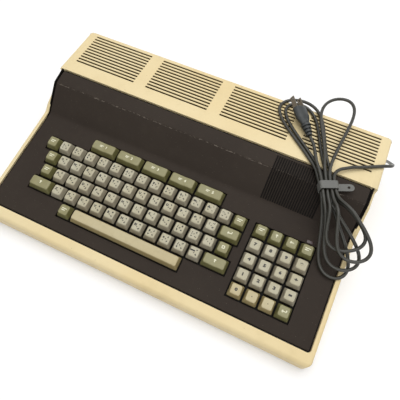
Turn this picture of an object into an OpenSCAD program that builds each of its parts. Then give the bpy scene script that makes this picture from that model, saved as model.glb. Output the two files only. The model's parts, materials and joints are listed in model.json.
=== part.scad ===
// Vintage home computer: keyboard and electronics in one wedge-shaped case, with its mains lead tied on top.
// Millimetres. X runs to the right, Y from the front edge to the rear, Z up from the table.

/* [Case] */
// Width of the case
body_w = 440; // [430:1:450]
// Depth of the case
body_d = 290; // [284:1:298]
// Height of the rear deck above the table
body_h = 80; // [78:1:84]
// Height of the keyboard deck's line where it meets the front edge
front_z = 21.45; // [20:0.05:23]
// Height of the feet that show below the base
foot_h = 4; // [3:0.5:5]
// Thickness of the case walls
wall = 2.5; // [2:0.1:3]
// Corner radius of the case seen from above
corner_r = 8; // [6:1:10]
// Height of the seam between the two case halves
seam_z = 14; // [13:0.5:15]
// Radius of the front nose
nose_r = 6; // [4:0.5:7]
// Radius of the rear top edge
rear_r = 4; // [3:0.5:6]

/* [Dark panel] */
// Depth of the strip above the steep slope
strip_d = 21.3; // [20:0.1:23]
// Fall of that strip towards the front, measured from the rear deck
strip_fall = 5.1; // [4:0.1:6]
// Depth of the steep slope
slope_d = 31; // [28:0.5:33]
// Tilt of the keyboard deck in degrees
deck_tilt = 8.35; // [8:0.05:9]
// Width of the front rail of the case
rail_w = 15; // [13:0.5:17]
// Width of the case rim beside the panel
rim_w = 6; // [5:0.25:7]
// Height of the rim above the panel
rim_h = 1.2; // [0.8:0.1:1.6]
// Width of the sunken edge round the panel
edge_w = 2; // [1.4:0.1:2.4]
// Depth of the sunken edge
edge_drop = 1.4; // [1:0.1:1.5]
// Thickness of the panel
panel_t = 2.5; // [2:0.1:3]
// Gap round the panel
panel_gap = 0.4; // [0.2:0.1:0.6]
// Corner radius of the panel seen from above
panel_r = 4; // [3:0.5:9]
// Radius where the deck meets the slope
crease_r = 12; // [8:1:16]
// Width of the ledge that carries the panel
ledge_w = 5; // [4:0.5:6]

/* [Ribbed field] */
// Number of grooves across the slope
rib_count = 23; // [15:1:24]
// Distance from one groove to the next
rib_pitch = 3; // [2.6:0.1:3.1]
// Width of a groove
rib_w = 1.5; // [1:0.1:1.8]
// Depth of a groove
rib_depth = 0.9; // [0.3:0.1:1.2]
// Distance of the grooves from the panel's right edge
rib_side = 48.5; // [44:0.5:56]

/* [Vents] */
// Number of slotted fields
vent_fields = 4; // [3:1:4]
// Distance of the outer fields from the sides of the case
vent_side = 13; // [11:0.5:18]
// Width of the bar between two fields
vent_bar = 18; // [12:0.5:24]
// Distance from one slot to the next
slot_pitch = 5.25; // [4.6:0.05:5.3]
// Width of a slot
slot_w = 2.7; // [1.8:0.1:2.8]
// Distance of the first slot from the rear edge
slot_margin = 7; // [6:0.5:8]
// Least width of the plain band between the slots and the dark panel
slot_front = 19; // [16:0.5:19.5]

/* [Keys] */
// Key pitch, the 3/4 inch standard
key_pitch = 19.05; // [18.8:0.05:19.2]
// Gap between two caps
cap_gap = 1.2; // [0.6:0.05:1.6]
// Height of a cap
cap_h = 9.5; // [9:0.1:10]
// How far a cap's skirt starts below the panel
cap_sink = 1; // [0.6:0.1:1.4]
// Wall of a cap
cap_wall = 1.2; // [1:0.1:1.3]
// Inset of a cap's top at either side
cap_side = 2.4; // [2:0.05:3.2]
// Inset of a cap's top at the front
cap_front = 3.6; // [3:0.1:4]
// Inset of a cap's top at the rear
cap_rear = 1.7; // [1.2:0.1:2.2]
// Radius of the finger dish
dish_r = 26; // [22:1:32]
// Key travel
travel = 4; // [3:0.1:4]
// How far the keys sit left of the middle of the case
keys_shift = 3.35; // [0:0.05:6]
// Gap between the main keys and the number pad
pad_gap = 8.95; // [8.5:0.05:9.5]
// Distance from the slope to the rear row
keys_back = 10; // [9:0.1:11]
// Distance from the front rail to the front row
keys_front = 17.9; // [16:0.1:20]
// Margin of the cut-outs round the key cells
cutout_margin = 0.6; // [0.4:0.1:0.8]

/* [Switches] */
// Depth of the switch plate below the panel surface
plate_depth = 6.5; // [6.3:0.1:6.8]
// Thickness of the switch plate
plate_t = 1.5; // [1:0.1:2]
// Side of the square hole for a switch
switch_hole = 14; // [13.8:0.1:14.2]
// Clearance of a switch in its hole
switch_fit = 0.1; // [0.05:0.05:0.15]
// Height of a switch body below the plate's top
switch_deep = 7; // [6.5:0.1:7.2]
// Side of a key stem
stem_w = 4.4; // [4:0.1:4.6]
// Clearance round a stem
stem_fit = 0.3; // [0.2:0.05:0.4]
// Thickness of a circuit board
board_t = 1.6; // [1.2:0.1:2]

/* [Rear] */
// Distance of the opening in the rear wall from the left side of the case
port_side = 25; // [20:1:30]
// Width of that opening
port_w = 330; // [320:1:336]
// Height of that opening
port_h = 40; // [38:0.5:42]
// Bottom of that opening above the table
port_z = 18; // [17:0.5:19]
// Thickness of the rear plate
port_plate_t = 1.5; // [1:0.1:2]
// Outer radius of a round socket
din_r = 8; // [7.5:0.1:8.5]
// Bore radius of a round socket
din_bore = 6.6; // [6.2:0.1:6.8]
// Radius of the reset button
reset_r = 3.5; // [3:0.1:4]
// Travel of the reset button
reset_travel = 2; // [1.5:0.1:2.5]
// Swing of the power rocker to either side in degrees
rocker_swing = 8; // [6:1:9]
// Radius of the rocker's pivot pins
pin_r = 1.2; // [1:0.1:1.4]

/* [Fastening] */
// Radius of a foot
foot_r = 8; // [7:0.5:9]
// Radius of a screw boss
boss_r = 4; // [3.8:0.1:4.5]
// Radius of a screw shank
screw_r = 1.5; // [1.3:0.05:1.6]

/* [Mains lead] */
// Diameter of the lead
cord_d = 4; // [3.6:0.1:4.2]
// Length of the strain relief behind the case
gland_len = 30; // [24:1:36]
// Distance of the strain relief from the right side of the case
gland_side = 28; // [24:1:32]
// Width of the tie band
tie_w = 10; // [8:0.5:11]

/* [Hidden] */
$fn = 48;

cream = [0.87, 0.80, 0.62];
dark = [0.24, 0.21, 0.20];
olive = [0.54, 0.54, 0.36];
pale = [0.76, 0.74, 0.68];
creamy = [0.80, 0.75, 0.58];
steel = [0.72, 0.72, 0.70];
board_green = [0.16, 0.36, 0.24];
cord_grey = [0.27, 0.28, 0.27];

panel_w = body_w - 2 * rim_w;
key_rows = 6;
crease2_y = rail_w + (keys_front + key_rows * key_pitch + keys_back) * cos(deck_tilt);
crease2_z = front_z + crease2_y * tan(deck_tilt);
crease1_y = crease2_y + slope_d;
crease1_z = body_h - strip_fall;
panel_rear = crease1_y + strip_d;
base_z = foot_h + wall;
inner_w = body_w - 2 * wall;
strip_end_z = body_h - 1.5;
far = 200;
eps = 0.01;

function deck_z(y) = crease2_z + (y - crease2_y) * tan(deck_tilt);

// Points of a fillet of radius r at corner b between the lines from a and to c.
function unit(v) = v / norm(v);
function fillet(a, b, c, r, n = 6) =
    let (u = unit(a - b), v = unit(c - b), half = acos(u * v) / 2, reach = r / tan(half),
        mid = b + unit(u + v) * r / sin(half), p = b + u * reach - mid, q = b + v * reach - mid)
    [for (i = [0:n]) mid + unit(p * (n - i) / n + q * i / n) * r];

// The panel's surface from front to rear, in Y and Z, raised by lift.
function panel_line(lift = 0) =
    let (front = [rail_w - 4, deck_z(rail_w - 4) + lift], low = [crease2_y, crease2_z + lift],
        high = [crease1_y, crease1_z + lift], rear = [panel_rear + 4, strip_end_z + lift + 4 * strip_rate()])
    concat([front], fillet(front, low, high, crease_r), fillet(low, high, rear, 3, 3), [rear]);
function strip_rate() = (strip_end_z - crease1_z) / strip_d;

module place() { translate([0, -body_d / 2, 0]) children(); }
// The keyboard deck's own frame: origin on the lower crease, Y along the deck, Z out of it.
module on_deck() { place() translate([0, crease2_y, crease2_z]) rotate([deck_tilt, 0, 0]) children(); }
// A side view in Y and Z drawn out to a width across X.
module across(w) { translate([-w / 2, 0, 0]) rotate([90, 0, 90]) linear_extrude(w) children(); }
module plan(w, d, r, y0) {
    x = w / 2 - r;
    translate([0, y0, 0]) linear_extrude(far) union() {
        translate([-x, 0]) square([2 * x, d]);
        translate([-w / 2, r]) square([w, d - 2 * r]);
        for (sx = [-1, 1], cy = [r, d - r]) translate([sx * x, cy]) circle(r);
    }
}

module case_outline() {
    top_front = [0, deck_z(0) + rim_h];
    low = [crease2_y, crease2_z + rim_h];
    high = [crease1_y, crease1_z + rim_h];
    deck = [panel_rear, body_h];
    polygon(concat([[1.5, foot_h], [0, foot_h + 1.5]],
        fillet([0, foot_h], top_front, low, nose_r), fillet(top_front, low, high, crease_r),
        fillet(low, high, deck, 3, 3), [deck],
        fillet(deck, [body_d, body_h], [body_d, foot_h], rear_r), [[body_d, foot_h + 1.5],
        [body_d - 1.5, foot_h]]));
}
module case_cavity() {
    intersection() {
        across(inner_w) offset(delta = -wall) case_outline();
        plan(inner_w, body_d - 2 * wall, corner_r - wall, wall);
    }
}
module case_solid() {
    intersection() {
        across(body_w) case_outline();
        plan(body_w, body_d, corner_r, 0);
    }
}
// Everything below the panel's surface, less a depth, in side view.
module below_panel(depth) {
    offset(delta = -depth) polygon(concat([[-far, -far]], [[-far, deck_z(-far)]], panel_line(),
        [[far * 2, strip_end_z + (far * 2 - panel_rear) * strip_rate()], [far * 2, -far]]));
}
module panel_band(top, bottom, y0, y1) {
    intersection() {
        translate([y0, 0]) square([y1 - y0, body_h + 20]);
        difference() {
            below_panel(top);
            below_panel(bottom);
        }
    }
}

vent_step = (body_w - 2 * vent_side + vent_bar) / vent_fields;
slot_len = vent_step - vent_bar;
slot_count = 1 + floor((body_d - panel_rear - slot_margin - slot_front - slot_w) / slot_pitch);
module vent_slots() {
    for (f = [0:vent_fields - 1], s = [0:slot_count - 1])
        translate([(f - (vent_fields - 1) / 2) * vent_step - slot_len / 2,
            body_d - slot_margin - s * slot_pitch - slot_w, body_h - wall - 1])
            cube([slot_len, slot_w, wall + 2]);
}

port_x = -body_w / 2 + port_side;
gland_x = body_w / 2 - gland_side;
gland_z = 26;
gland_neck = 5;
screw_spots = [for (side = [-1, 1]) each [[side * (body_w / 2 - 80), wall + 6],
    [side * (inner_w / 2 - boss_r + 0.7), crease2_y + 12],
    [side * (inner_w / 2 - boss_r - 4), body_d - wall - 8]]];
head_r = 2 * screw_r;
head_h = 2;
ledge_t = 2;

module upper_case() {
    color(cream) place() difference() {
        union() {
            upper_shell();
            panel_ledge();
            for (s = screw_spots) upper_boss(s);
        }
        for (s = screw_spots) translate([s[0], s[1], seam_z - 1]) cylinder(r = screw_r + 0.05, h = 7);
    }
}
module upper_shell() {
    difference() {
        case_solid();
        case_cavity();
        translate([-body_w, -far, -far]) cube([body_w * 2, far * 3, far + seam_z]);
        intersection() {
            across(panel_w + 2 * panel_gap) difference() {
                translate([rail_w - panel_gap, seam_z + eps])
                    square([panel_rear - rail_w + 2 * panel_gap, far]);
                below_panel(panel_t);
            }
            panel_plan(-panel_gap);
        }
        across(panel_w - 2 * ledge_w) translate([rail_w + ledge_w, seam_z - 1])
            square([panel_rear - rail_w - 2 * ledge_w, far]);
        vent_slots();
        translate([port_x, body_d - wall - 1, port_z]) cube([port_w, wall + 2, port_h]);
        translate([gland_x, body_d + 1, gland_z]) rotate([90, 0, 0])
            cylinder(r = gland_neck + 0.2, h = wall + 2);
    }
}
// The panel's outline seen from above, moved in all round.
module panel_plan(inset) {
    plan(panel_w - 2 * inset, panel_rear - rail_w - 2 * inset, panel_r - inset, rail_w + inset);
}
module panel_ledge() {
    difference() {
        intersection() {
            across(inner_w + eps) panel_band(panel_t, panel_t + ledge_t, wall, panel_rear + 4);
            case_solid();
        }
        across(panel_w - 2 * ledge_w) translate([rail_w + ledge_w, 0])
            square([panel_rear - rail_w - 2 * ledge_w, far]);
        translate([-body_w, -far, -far]) cube([body_w * 2, far * 3, far + seam_z]);
    }
}
module upper_boss(s) {
    intersection() {
        translate([s[0], s[1], seam_z]) cylinder(r = boss_r, h = far);
        across(inner_w + wall) difference() {
            offset(delta = -wall + eps) case_outline();
            translate([rail_w, 0]) difference() {
                square([panel_rear - rail_w, far]);
                translate([-rail_w, 0]) below_panel(panel_t + ledge_t - eps);
            }
        }
    }
}

// The boards inside: the power board stands at the right wall, the main board fills the rest.
power_w = 84;
power_x = inner_w / 2 - 7.5 - power_w;
power_y = crease2_y + 14.3;
power_end = body_d - wall - 13.5;
main_x = -inner_w / 2 + 17.5;
main_w = power_x - 20 - main_x;
main_y = crease2_y + 4.3;
main_end = body_d - wall - 8;
post_spots = [for (x = [main_x + 10, main_x + main_w * 0.46, main_x + main_w - 10],
    y = [main_y + 8, main_end - 11.5]) [x, y]];
power_posts = [[power_x + 6, power_y + 6], [power_x + power_w - 8, power_y + 6], [power_x + 6, power_end - 8]];
board_z = base_z + 7;
module lower_case() {
    color(cream) place() difference() {
        union() {
            difference() {
                case_solid();
                case_cavity();
                translate([-body_w, -far, seam_z]) cube([body_w * 2, far * 3, far]);
            }
            for (s = screw_spots) translate([s[0], s[1], foot_h + 1])
                cylinder(r = boss_r, h = seam_z - foot_h - 1);
            for (p = concat(post_spots, power_posts)) translate([p[0], p[1], foot_h + 1])
                cylinder(r = 3.5, h = board_z - foot_h - 1);
        }
        for (s = screw_spots) translate([s[0], s[1], foot_h - 1]) {
            cylinder(r = screw_r + 0.3, h = seam_z);
            cylinder(r = head_r + 0.3, h = head_h + 1.5);
        }
        for (p = foot_spots) translate([p[0], p[1], foot_h - 1]) cylinder(r = foot_r + 0.1, h = 2);
        for (i = [-5:5]) translate([i * 12 - 1.5, body_d - 90, foot_h - 1]) cube([3, 50, wall + 2]);
    }
}

foot_spots = [for (side = [-1, 1], y = [30, body_d - 28]) [side * (body_w / 2 - 30), y]];
module rubber_feet() {
    color([0.15, 0.15, 0.15]) place() for (p = foot_spots) translate([p[0], p[1], 0]) {
        cylinder(r = foot_r - 0.8, h = foot_h);
        translate([0, 0, 1]) cylinder(r = foot_r, h = foot_h);
    }
}
module case_screws() {
    color(steel) place() for (s = screw_spots) translate([s[0], s[1], foot_h + 0.2]) {
        cylinder(r = screw_r, h = seam_z - foot_h + 5);
        difference() {
            cylinder(r = head_r, h = head_h);
            for (a = [0, 90]) rotate([0, 0, a]) translate([-head_r * 0.6, -0.4, -1])
                cube([head_r * 1.2, 0.8, 2]);
        }
    }
}

// Key cells: left edge and row in key pitches, counted from the first key of the number row,
// and width in pitches. Row 0 is the row of wide keys, rows 1 to 5 run towards the front.
keys_x = -(19 * key_pitch + pad_gap) / 2 - keys_shift;
pad_x = keys_x + 15 * key_pitch + pad_gap;
keys_end = pad_x + 4 * key_pitch;
function row_front(row) = -keys_back - (row + 1) * key_pitch;
number_row = [for (i = [1:13]) [i, 1, 1]];
upper_row = [for (i = [1:12]) [i + 0.5, 2, 1]];
middle_row = [for (i = [1:12]) [i + 0.75, 3, 1]];
lower_row = [for (i = [0:10]) [i + 2.25, 4, 1]];
green_cells = [[3, 0, 2], [5, 0, 2], [7, 0, 2], [9, 0, 2], [11, 0, 2], [0, 1, 1], [14, 1, 1], [0.5, 2, 1],
    [13.5, 2, 1.5], [0.75, 3, 1], [13.75, 3, 1], [0.5, 4, 1.75], [13.25, 4, 1.75], [3.375, 5, 1]];
space_cell = [4.375, 5, 7.875];
main_cells = concat(number_row, upper_row, middle_row, lower_row, green_cells, [space_cell]);
function pad_cell(col, row) = [(pad_x - keys_x) / key_pitch + col, row, 1];
pad_cells = [for (row = [1:5], col = [0:3]) pad_cell(col, row)];
all_cells = concat(main_cells, pad_cells);
// Left end, row and width of each straight piece of the cut-outs
cutouts = [[3, 0, 10], [0, 1, 15], [0.5, 2, 14.5], [0.75, 3, 14], [0.5, 4, 14.5], [3.375, 5, 8.875]];

module at_cell(cell) {
    translate([keys_x + cell[0] * key_pitch, row_front(cell[1]), 0]) children();
}
module at_cell_middle(cell) {
    at_cell(cell) translate([cell[2] * key_pitch / 2, key_pitch / 2, 0]) children();
}

module key_cutouts(deep) {
    m = cutout_margin;
    for (c = cutouts) at_cell(c)
        translate([-m, -m, -deep]) cube([c[2] * key_pitch + 2 * m, key_pitch + 2 * m, deep + 5]);
    translate([pad_x - m, row_front(5) - m, -deep])
        cube([4 * key_pitch + 2 * m, 5 * key_pitch + 2 * m, deep + 5]);
}

lamp_at = [pad_x + 3 * key_pitch + 5.95, row_front(0) + 1.55];
lamp_size = [7.6, 4];
lamp_fit = 0.15;
// Posts of the panel stand on the switch plate where no key is: left edge in pitches, and row.
post_cells = [[1, 0], [14, 0], [16.9, 0], [1.2, 5], [13.6, 5]];
module keyboard_bezel() {
    color(dark) union() {
        difference() {
            place() union() {
                intersection() {
                    across(panel_w) panel_band(edge_drop, panel_t - eps, rail_w, panel_rear);
                    panel_plan(0);
                }
                intersection() {
                    across(panel_w) panel_band(0, panel_t - eps, rail_w, panel_rear);
                    panel_plan(edge_w);
                }
            }
            on_deck() key_cutouts(10);
            on_deck() translate([lamp_at[0], lamp_at[1], -10])
                cube([lamp_size[0], lamp_size[1], 20]);
            place() translate([panel_w / 2 - rib_side - rib_w / 2, 0, 0]) for (i = [0:rib_count - 1])
                translate([-i * rib_pitch, 0, 0]) across(rib_w)
                    panel_band(-1, rib_depth, crease2_y + 2, panel_rear - edge_w - 2);
        }
        on_deck() for (c = post_cells) at_cell(c) translate([0, key_pitch / 2, -plate_depth])
            cylinder(r = 3, h = plate_depth - panel_t / 2);
    }
}

module power_lamp() {
    color([0.35, 0.08, 0.06]) on_deck() translate([lamp_at[0] + lamp_fit, lamp_at[1] + lamp_fit, -4])
        cube([lamp_size[0] - 2 * lamp_fit, lamp_size[1] - 2 * lamp_fit, 4.3]);
}

plate_left = (keys_x - inner_w / 2) / 2;
plate_right = (keys_end + inner_w / 2) / 2;
plate_front = row_front(5) - 3;
plate_rear = -4;
module key_plate() {
    color(steel) on_deck() difference() {
        translate([plate_left, plate_front, -plate_depth - plate_t])
            cube([plate_right - plate_left, plate_rear - plate_front, plate_t - eps]);
        for (c = all_cells) at_cell_middle(c)
            cube([switch_hole, switch_hole, 4 * plate_depth], center = true);
    }
}
switch_bottom = plate_depth + switch_deep;
module key_board() {
    color(board_green) on_deck() translate([plate_left + 4, plate_front, -switch_bottom - board_t - eps])
        cube([plate_right - plate_left - 8, plate_rear - plate_front, board_t]);
}
flange = 15.4;
switch_neck = 10.5;
switch_top = 1.6;
module key_switches() {
    color([0.2, 0.2, 0.22]) on_deck() for (c = all_cells) at_cell_middle(c) switch_body();
}
module switch_body() {
    body = switch_hole - 2 * switch_fit;
    bore = stem_w + 2 * stem_fit;
    difference() {
        union() {
            translate([-body / 2, -body / 2, -switch_bottom]) cube([body, body, switch_deep + 0.5]);
            translate([-flange / 2, -flange / 2, -plate_depth]) cube([flange, flange, 0.9]);
            translate([-switch_neck / 2, -switch_neck / 2, -plate_depth])
                cube([switch_neck, switch_neck, plate_depth - switch_top]);
        }
        translate([-bore / 2, -bore / 2, -switch_bottom + 0.8]) cube([bore, bore, far]);
    }
}

// One key cap on its cell: a hollow four-sided taper with a dished top and a stem.
module cap(cell, dished = true) {
    w = cell[2] * key_pitch - cap_gap;
    d = key_pitch - cap_gap;
    at_cell_middle(cell) translate([0, 0, -cap_sink]) {
        difference() {
            cap_taper(w, d, 0, cap_h);
            cap_taper(w, d, cap_wall, cap_h - 2.2);
            if (dished) translate([0, d, cap_h + dish_r - 0.75]) rotate([90, 0, 0])
                cylinder(r = dish_r, h = 2 * d, $fn = 96);
        }
        stem_bottom = switch_bottom - travel - 1.4;
        translate([-stem_w / 2, -stem_w / 2, cap_sink - stem_bottom])
            cube([stem_w, stem_w, cap_h + stem_bottom - cap_sink - 1.5]);
    }
}
// The taper as two crossed wedges; inset thins it all round, and top is where it is cut off.
module cap_taper(w, d, inset, top) {
    x0 = w / 2 - inset;
    x1 = x0 - cap_side * top / cap_h;
    front = -d / 2 + inset;
    rear = d / 2 - inset;
    low = inset > 0 ? -1 : 0;
    intersection() {
        translate([0, d, 0]) rotate([90, 0, 0]) linear_extrude(2 * d)
            polygon([[-x0, low], [x0, low], [x0, 0], [x1, top], [-x1, top], [-x0, 0]]);
        translate([-w, 0, 0]) rotate([90, 0, 90]) linear_extrude(2 * w)
            polygon([[front, low], [rear, low], [rear, 0], [rear - cap_rear * top / cap_h, top],
                [front + cap_front * top / cap_h, top], [front, 0]]);
    }
}
module caps(cells, shade, dished = true) { color(shade) on_deck() for (c = cells) cap(c, dished); }

module rear_panel() {
    color(dark) place() difference() {
        translate([port_x - 3, body_d - wall - port_plate_t - eps, port_z - 2])
            cube([port_w + 6, port_plate_t, port_h + 4]);
        for (x = din_x) translate([x, body_d, socket_z]) rotate([90, 0, 0]) cylinder(r = din_r + 0.2, h = 20);
        translate([expansion_x - 0.2, body_d - 20, socket_z - expansion_h / 2 - 0.2])
            cube([expansion_w + 0.4, 30, expansion_h + 0.4]);
        translate([reset_x, body_d, socket_z]) rotate([90, 0, 0]) cylinder(r = reset_r + 0.3, h = 20);
        translate([rocker_x - rocker_w / 2 - 1.8, body_d - 20, socket_z - rocker_h / 2 - 1.8])
            cube([rocker_w + 3.6, 30, rocker_h + 3.6]);
    }
}
socket_z = port_z + port_h / 2;
din_x = [for (i = [0:2]) port_x + 30 + i * 35];
reset_x = port_x + port_w - 85;
rocker_x = port_x + port_w - 40;
expansion_w = 74;
expansion_h = 13;
expansion_x = (din_x[2] + reset_x - expansion_w) / 2;
rocker_w = 12;
rocker_h = 20;
socket_deep = 10;
socket_out = 1;
module round_sockets() {
    color([0.12, 0.12, 0.12]) place() for (x = din_x)
        translate([x, body_d - wall + socket_out, socket_z]) rotate([90, 0, 0]) difference() {
            cylinder(r = din_r, h = socket_deep + 4);
            translate([0, 0, -1]) cylinder(r = din_bore, h = socket_deep + 1);
        }
}
module expansion_socket() {
    color([0.12, 0.12, 0.12]) place() difference() {
        translate([expansion_x, body_d - wall - socket_deep - 3, socket_z - expansion_h / 2])
            cube([expansion_w, socket_deep + 3 + socket_out, expansion_h]);
        translate([expansion_x + 3, body_d - wall - socket_deep, socket_z - expansion_h / 2 + 2.5])
            cube([expansion_w - 6, socket_deep + 10, expansion_h - 5]);
    }
}
module switch_housing() {
    color([0.12, 0.12, 0.12]) place() difference() {
        translate([rocker_x - rocker_w / 2 - 1.5, body_d - wall - 16, socket_z - rocker_h / 2 - 1.5])
            cube([rocker_w + 3, 16 + socket_out, rocker_h + 3]);
        translate([rocker_x - rocker_w / 2, body_d - wall - 14, socket_z - rocker_h / 2])
            cube([rocker_w, 30, rocker_h]);
        translate([rocker_x - rocker_w, rocker_axis_y, socket_z]) rotate([0, 90, 0])
            cylinder(r = pin_r + pin_gap, h = 2 * rocker_w);
    }
}
rocker_axis_y = body_d - wall - 5;
rocker_gap = 0.5;
pin_gap = 0.35;
module power_switch() {
    color([0.1, 0.1, 0.1]) place() translate([rocker_x, rocker_axis_y, socket_z]) union() {
        across(rocker_w - 2 * rocker_gap) polygon([[-3, -3], [-3, 3], [5, rocker_h / 2 - 1.6],
            [5 - (rocker_h / 2 - 1.6) * tan(rocker_swing), 0], [5, -rocker_h / 2 + 1.6]]);
        translate([-rocker_w / 2 - 1.2, 0, 0]) rotate([0, 90, 0]) cylinder(r = pin_r, h = rocker_w + 2.4);
    }
}
module reset_button() {
    color([0.55, 0.12, 0.1]) place() translate([reset_x, body_d - wall + reset_travel, socket_z])
        rotate([90, 0, 0]) {
        cylinder(r = reset_r, h = 8);
        translate([0, 0, reset_travel + port_plate_t + 0.4]) cylinder(r = reset_r + 1.5, h = 1.5);
    }
}

chip_size = [15, 18, 4];
chip_step = [(main_w - 96) / 7, (main_end - main_y - 29.5) / 3];
module main_board() {
    color(board_green) place() translate([main_x, main_y, board_z]) cube([main_w, main_end - main_y, board_t]);
}
module board_chips() {
    color([0.14, 0.14, 0.15]) place() for (col = [0:6], row = [0:2])
        translate([main_x + 24 + col * chip_step[0], main_y + 16 + row * chip_step[1], board_z + board_t])
            cube(chip_size);
}
module beeper() {
    color([0.1, 0.1, 0.1]) place() translate([main_x + main_w - 44, main_y + 26, board_z + board_t])
        difference() {
            cylinder(r = 11, h = 9);
            translate([0, 0, 6]) cylinder(r = 1.5, h = 5);
        }
}
module power_board() {
    color([0.55, 0.42, 0.2]) place() translate([power_x, power_y, board_z])
        cube([power_w, power_end - power_y, board_t]);
}
module transformer() {
    color([0.45, 0.43, 0.4]) place() translate([power_x + 14, power_end - 55, board_z + board_t]) {
        difference() {
            cube([56, 48, 42]);
            for (y = [-1, 39]) translate([8, y, 6]) cube([40, 10, 30]);
        }
        for (y = [1.5, 39.5]) translate([9, y, 8]) cube([38, 7, 26]);
    }
}
module heatsink() {
    color(steel) place() translate([power_x + 4.5, power_y + 15, board_z + board_t]) union() {
        cube([3, 50, 34]);
        for (i = [0:6]) translate([-4.3, i * 8, 6]) cube([4.4, 2, 28]);
    }
}
module capacitors() {
    color([0.2, 0.25, 0.45]) place() for (i = [0:2])
        translate([power_x + 24 + i * 20, power_y + 8.5, board_z + board_t]) cylinder(r = 7.5, h = 25);
}
module ribbon_cable() {
    y0 = crease2_y + plate_rear * cos(deck_tilt) + switch_bottom * sin(deck_tilt);
    z0 = crease2_z + plate_rear * sin(deck_tilt) - (switch_bottom + board_t) * cos(deck_tilt);
    zb = board_z + board_t;
    y1 = main_y + 8;
    color([0.62, 0.6, 0.55]) place() translate([main_x + 140, 0, 0]) across(46) polygon([
        [y0 - 12, z0 - 2.4], [y0 - 2, z0 - 0.9], [y0 + 6.4, z0 - 0.9], [y1 + 1, zb + 5.4], [y1 + 1, zb],
        [y1, zb], [y1, zb + 5], [y0 + 6, z0 - 1.9], [y0 - 2, z0 - 1.9], [y0 - 12, z0 - 3.4]]);
}

// Mains lead. It leaves the rear wall through its strain relief, comes round the corner and up the
// right side, crosses to the tie and is put away there in loops that lie on the case.
cord_r = cord_d / 2;
seat = 0.3;
module cord_gland() {
    ribs = [for (i = [0:4]) let (y = 6 + i * (gland_len - 8) / 5, r = 5.4 - i * 0.45)
        each [[r, y], [r, y + 2.6], [r - 1, y + 2.8], [r - 1, y + 4.2]]];
    color([0.12, 0.12, 0.12]) place() translate([gland_x, body_d, gland_z]) rotate([-90, 0, 0])
        rotate_extrude() polygon(concat([[0, -wall - 3], [gland_neck + 2, -wall - 3],
            [gland_neck + 2, -wall - 0.1], [gland_neck, -wall - 0.1], [gland_neck, 0.2],
            [gland_neck + 2, 0.2], [gland_neck + 2, 3]], ribs, [[2.6, gland_len], [0, gland_len]]));
}

// A tube swept along points: rings of a given number of sides, closed at both ends.
function tangent(p, i) = unit(p[min(i + 1, len(p) - 1)] - p[max(i - 1, 0)]);
function ring(p, i, sides, r) =
    let (t = tangent(p, i), side = unit(cross(t, [0.09, 0.06, 1])), up = cross(side, t))
    [for (k = [0:sides - 1]) p[i] + r * (cos(360 * k / sides) * side + sin(360 * k / sides) * up)];
module tube(p, r, sides) {
    n = len(p);
    rings = [for (i = [0:n - 1]) each ring(p, i, sides, r)];
    skin = [for (i = [0:n - 2], k = [0:sides - 1]) let (a = i * sides + k, b = i * sides + (k + 1) % sides)
        each [[a, b, b + sides], [a, b + sides, a + sides]]];
    caps = [for (k = [1:sides - 2]) each [[0, k + 1, k],
        [(n - 1) * sides, (n - 1) * sides + k, (n - 1) * sides + k + 1]]];
    polyhedron(rings, concat(skin, caps));
}
// A smooth curve through points, with some steps between each two of them.
function smooth(p, steps) = [for (i = [0:len(p) - 2], s = [0:steps - 1])
    let (t = s / steps, a = i > 0 ? p[i - 1] : 2 * p[0] - p[1], b = p[i], c = p[i + 1],
        d = i < len(p) - 2 ? p[i + 2] : 2 * p[i + 1] - p[i])
    0.5 * (2 * b + (c - a) * t + (2 * a - 5 * b + 4 * c - d) * t * t + (3 * b - a - 3 * c + d) * t * t * t),
    p[len(p) - 1]];

// The loops of the hank. Along runs out from the tie, side across it, both in the hank's own frame.
waist = [165, 182.6];
waist_turn = 25;
waist_straight = 7;
strand_step = 4.8;
level_step = 5.9;
// For each fold: reach, sideways drift, half width, column and level of the strand that leads in and
// of the one that leads out, level at the tip, and where along its reach the climb starts and ends.
folds = [
    [-84, 21, 15, [1.5, 1], [0.5, 1], 3.45, 0.02, 0.42],
    [130, 36, 19.5, [0.5, 1], [-0.5, 1], 0.95, 0.5, 1],
    [-71, 16, 16.5, [-0.5, 1], [1.5, 0], 2.3, 0.02, 0.45],
    [132, -23.6, 21.3, [1.5, 0], [-1.5, 0], 0, 0.1, 0.5],
    [-94, 12, 12.75, [-1.5, 0], [0.5, 0], 0, 0.05, 0.3],
    [125, -23, 16.5, [0.5, 0], [-0.5, 0], 0, 0.1, 0.5],
    [-88, 23, 15.75, [-0.5, 0], [-1.5, 1], 1.27, 0.02, 0.26]];
rings_per_fold = 24;
bulge = 0.385;
function ease(t) = let (c = max(0, min(1, t))) c * c * (3 - 2 * c);
function mix(a, b, t) = a + (b - a) * t;
// Height of the lowest strand over the case: on the rear deck, then down towards the keyboard deck.
function rest_z(y) = mix(deck_z(y) + rim_h + 0.6, body_h + seat, ease((y - 100) / 84)) + cord_r;
function hank_point(along, side, level) =
    let (x = waist[0] - along * sin(waist_turn) + side * cos(waist_turn),
        y = waist[1] + along * cos(waist_turn) + side * sin(waist_turn))
    [x, y, rest_z(y) + level * level_step];
function fold_point(f, t) =
    let (s = sin(180 * t), c = cos(180 * t), from = f[3], to = f[4], k = f[2] / bulge,
        sense = from[0] > to[0] ? 1 : -1, drift = f[1] * s * s * s / (s * s + 0.0225),
        side = strand_step * mix(from[0], to[0], (1 - c) / 2) + drift + sense * k * c * s * s,
        start = t < 0.5 ? from[1] : to[1],
        level = mix(start, f[5], ease((s - f[6]) / (f[7] - f[6]))))
    hank_point(sign(f[0]) * waist_straight + (f[0] - sign(f[0]) * waist_straight) * s, side, level);
plug_turn = 37;
plug_tail = [124, 241, body_h + seat + 7.5];
plug_way = [-sin(plug_turn), cos(plug_turn), 0];
function first_strand(u) = hank_point(u, 1.5 * strand_step, 1);
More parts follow.
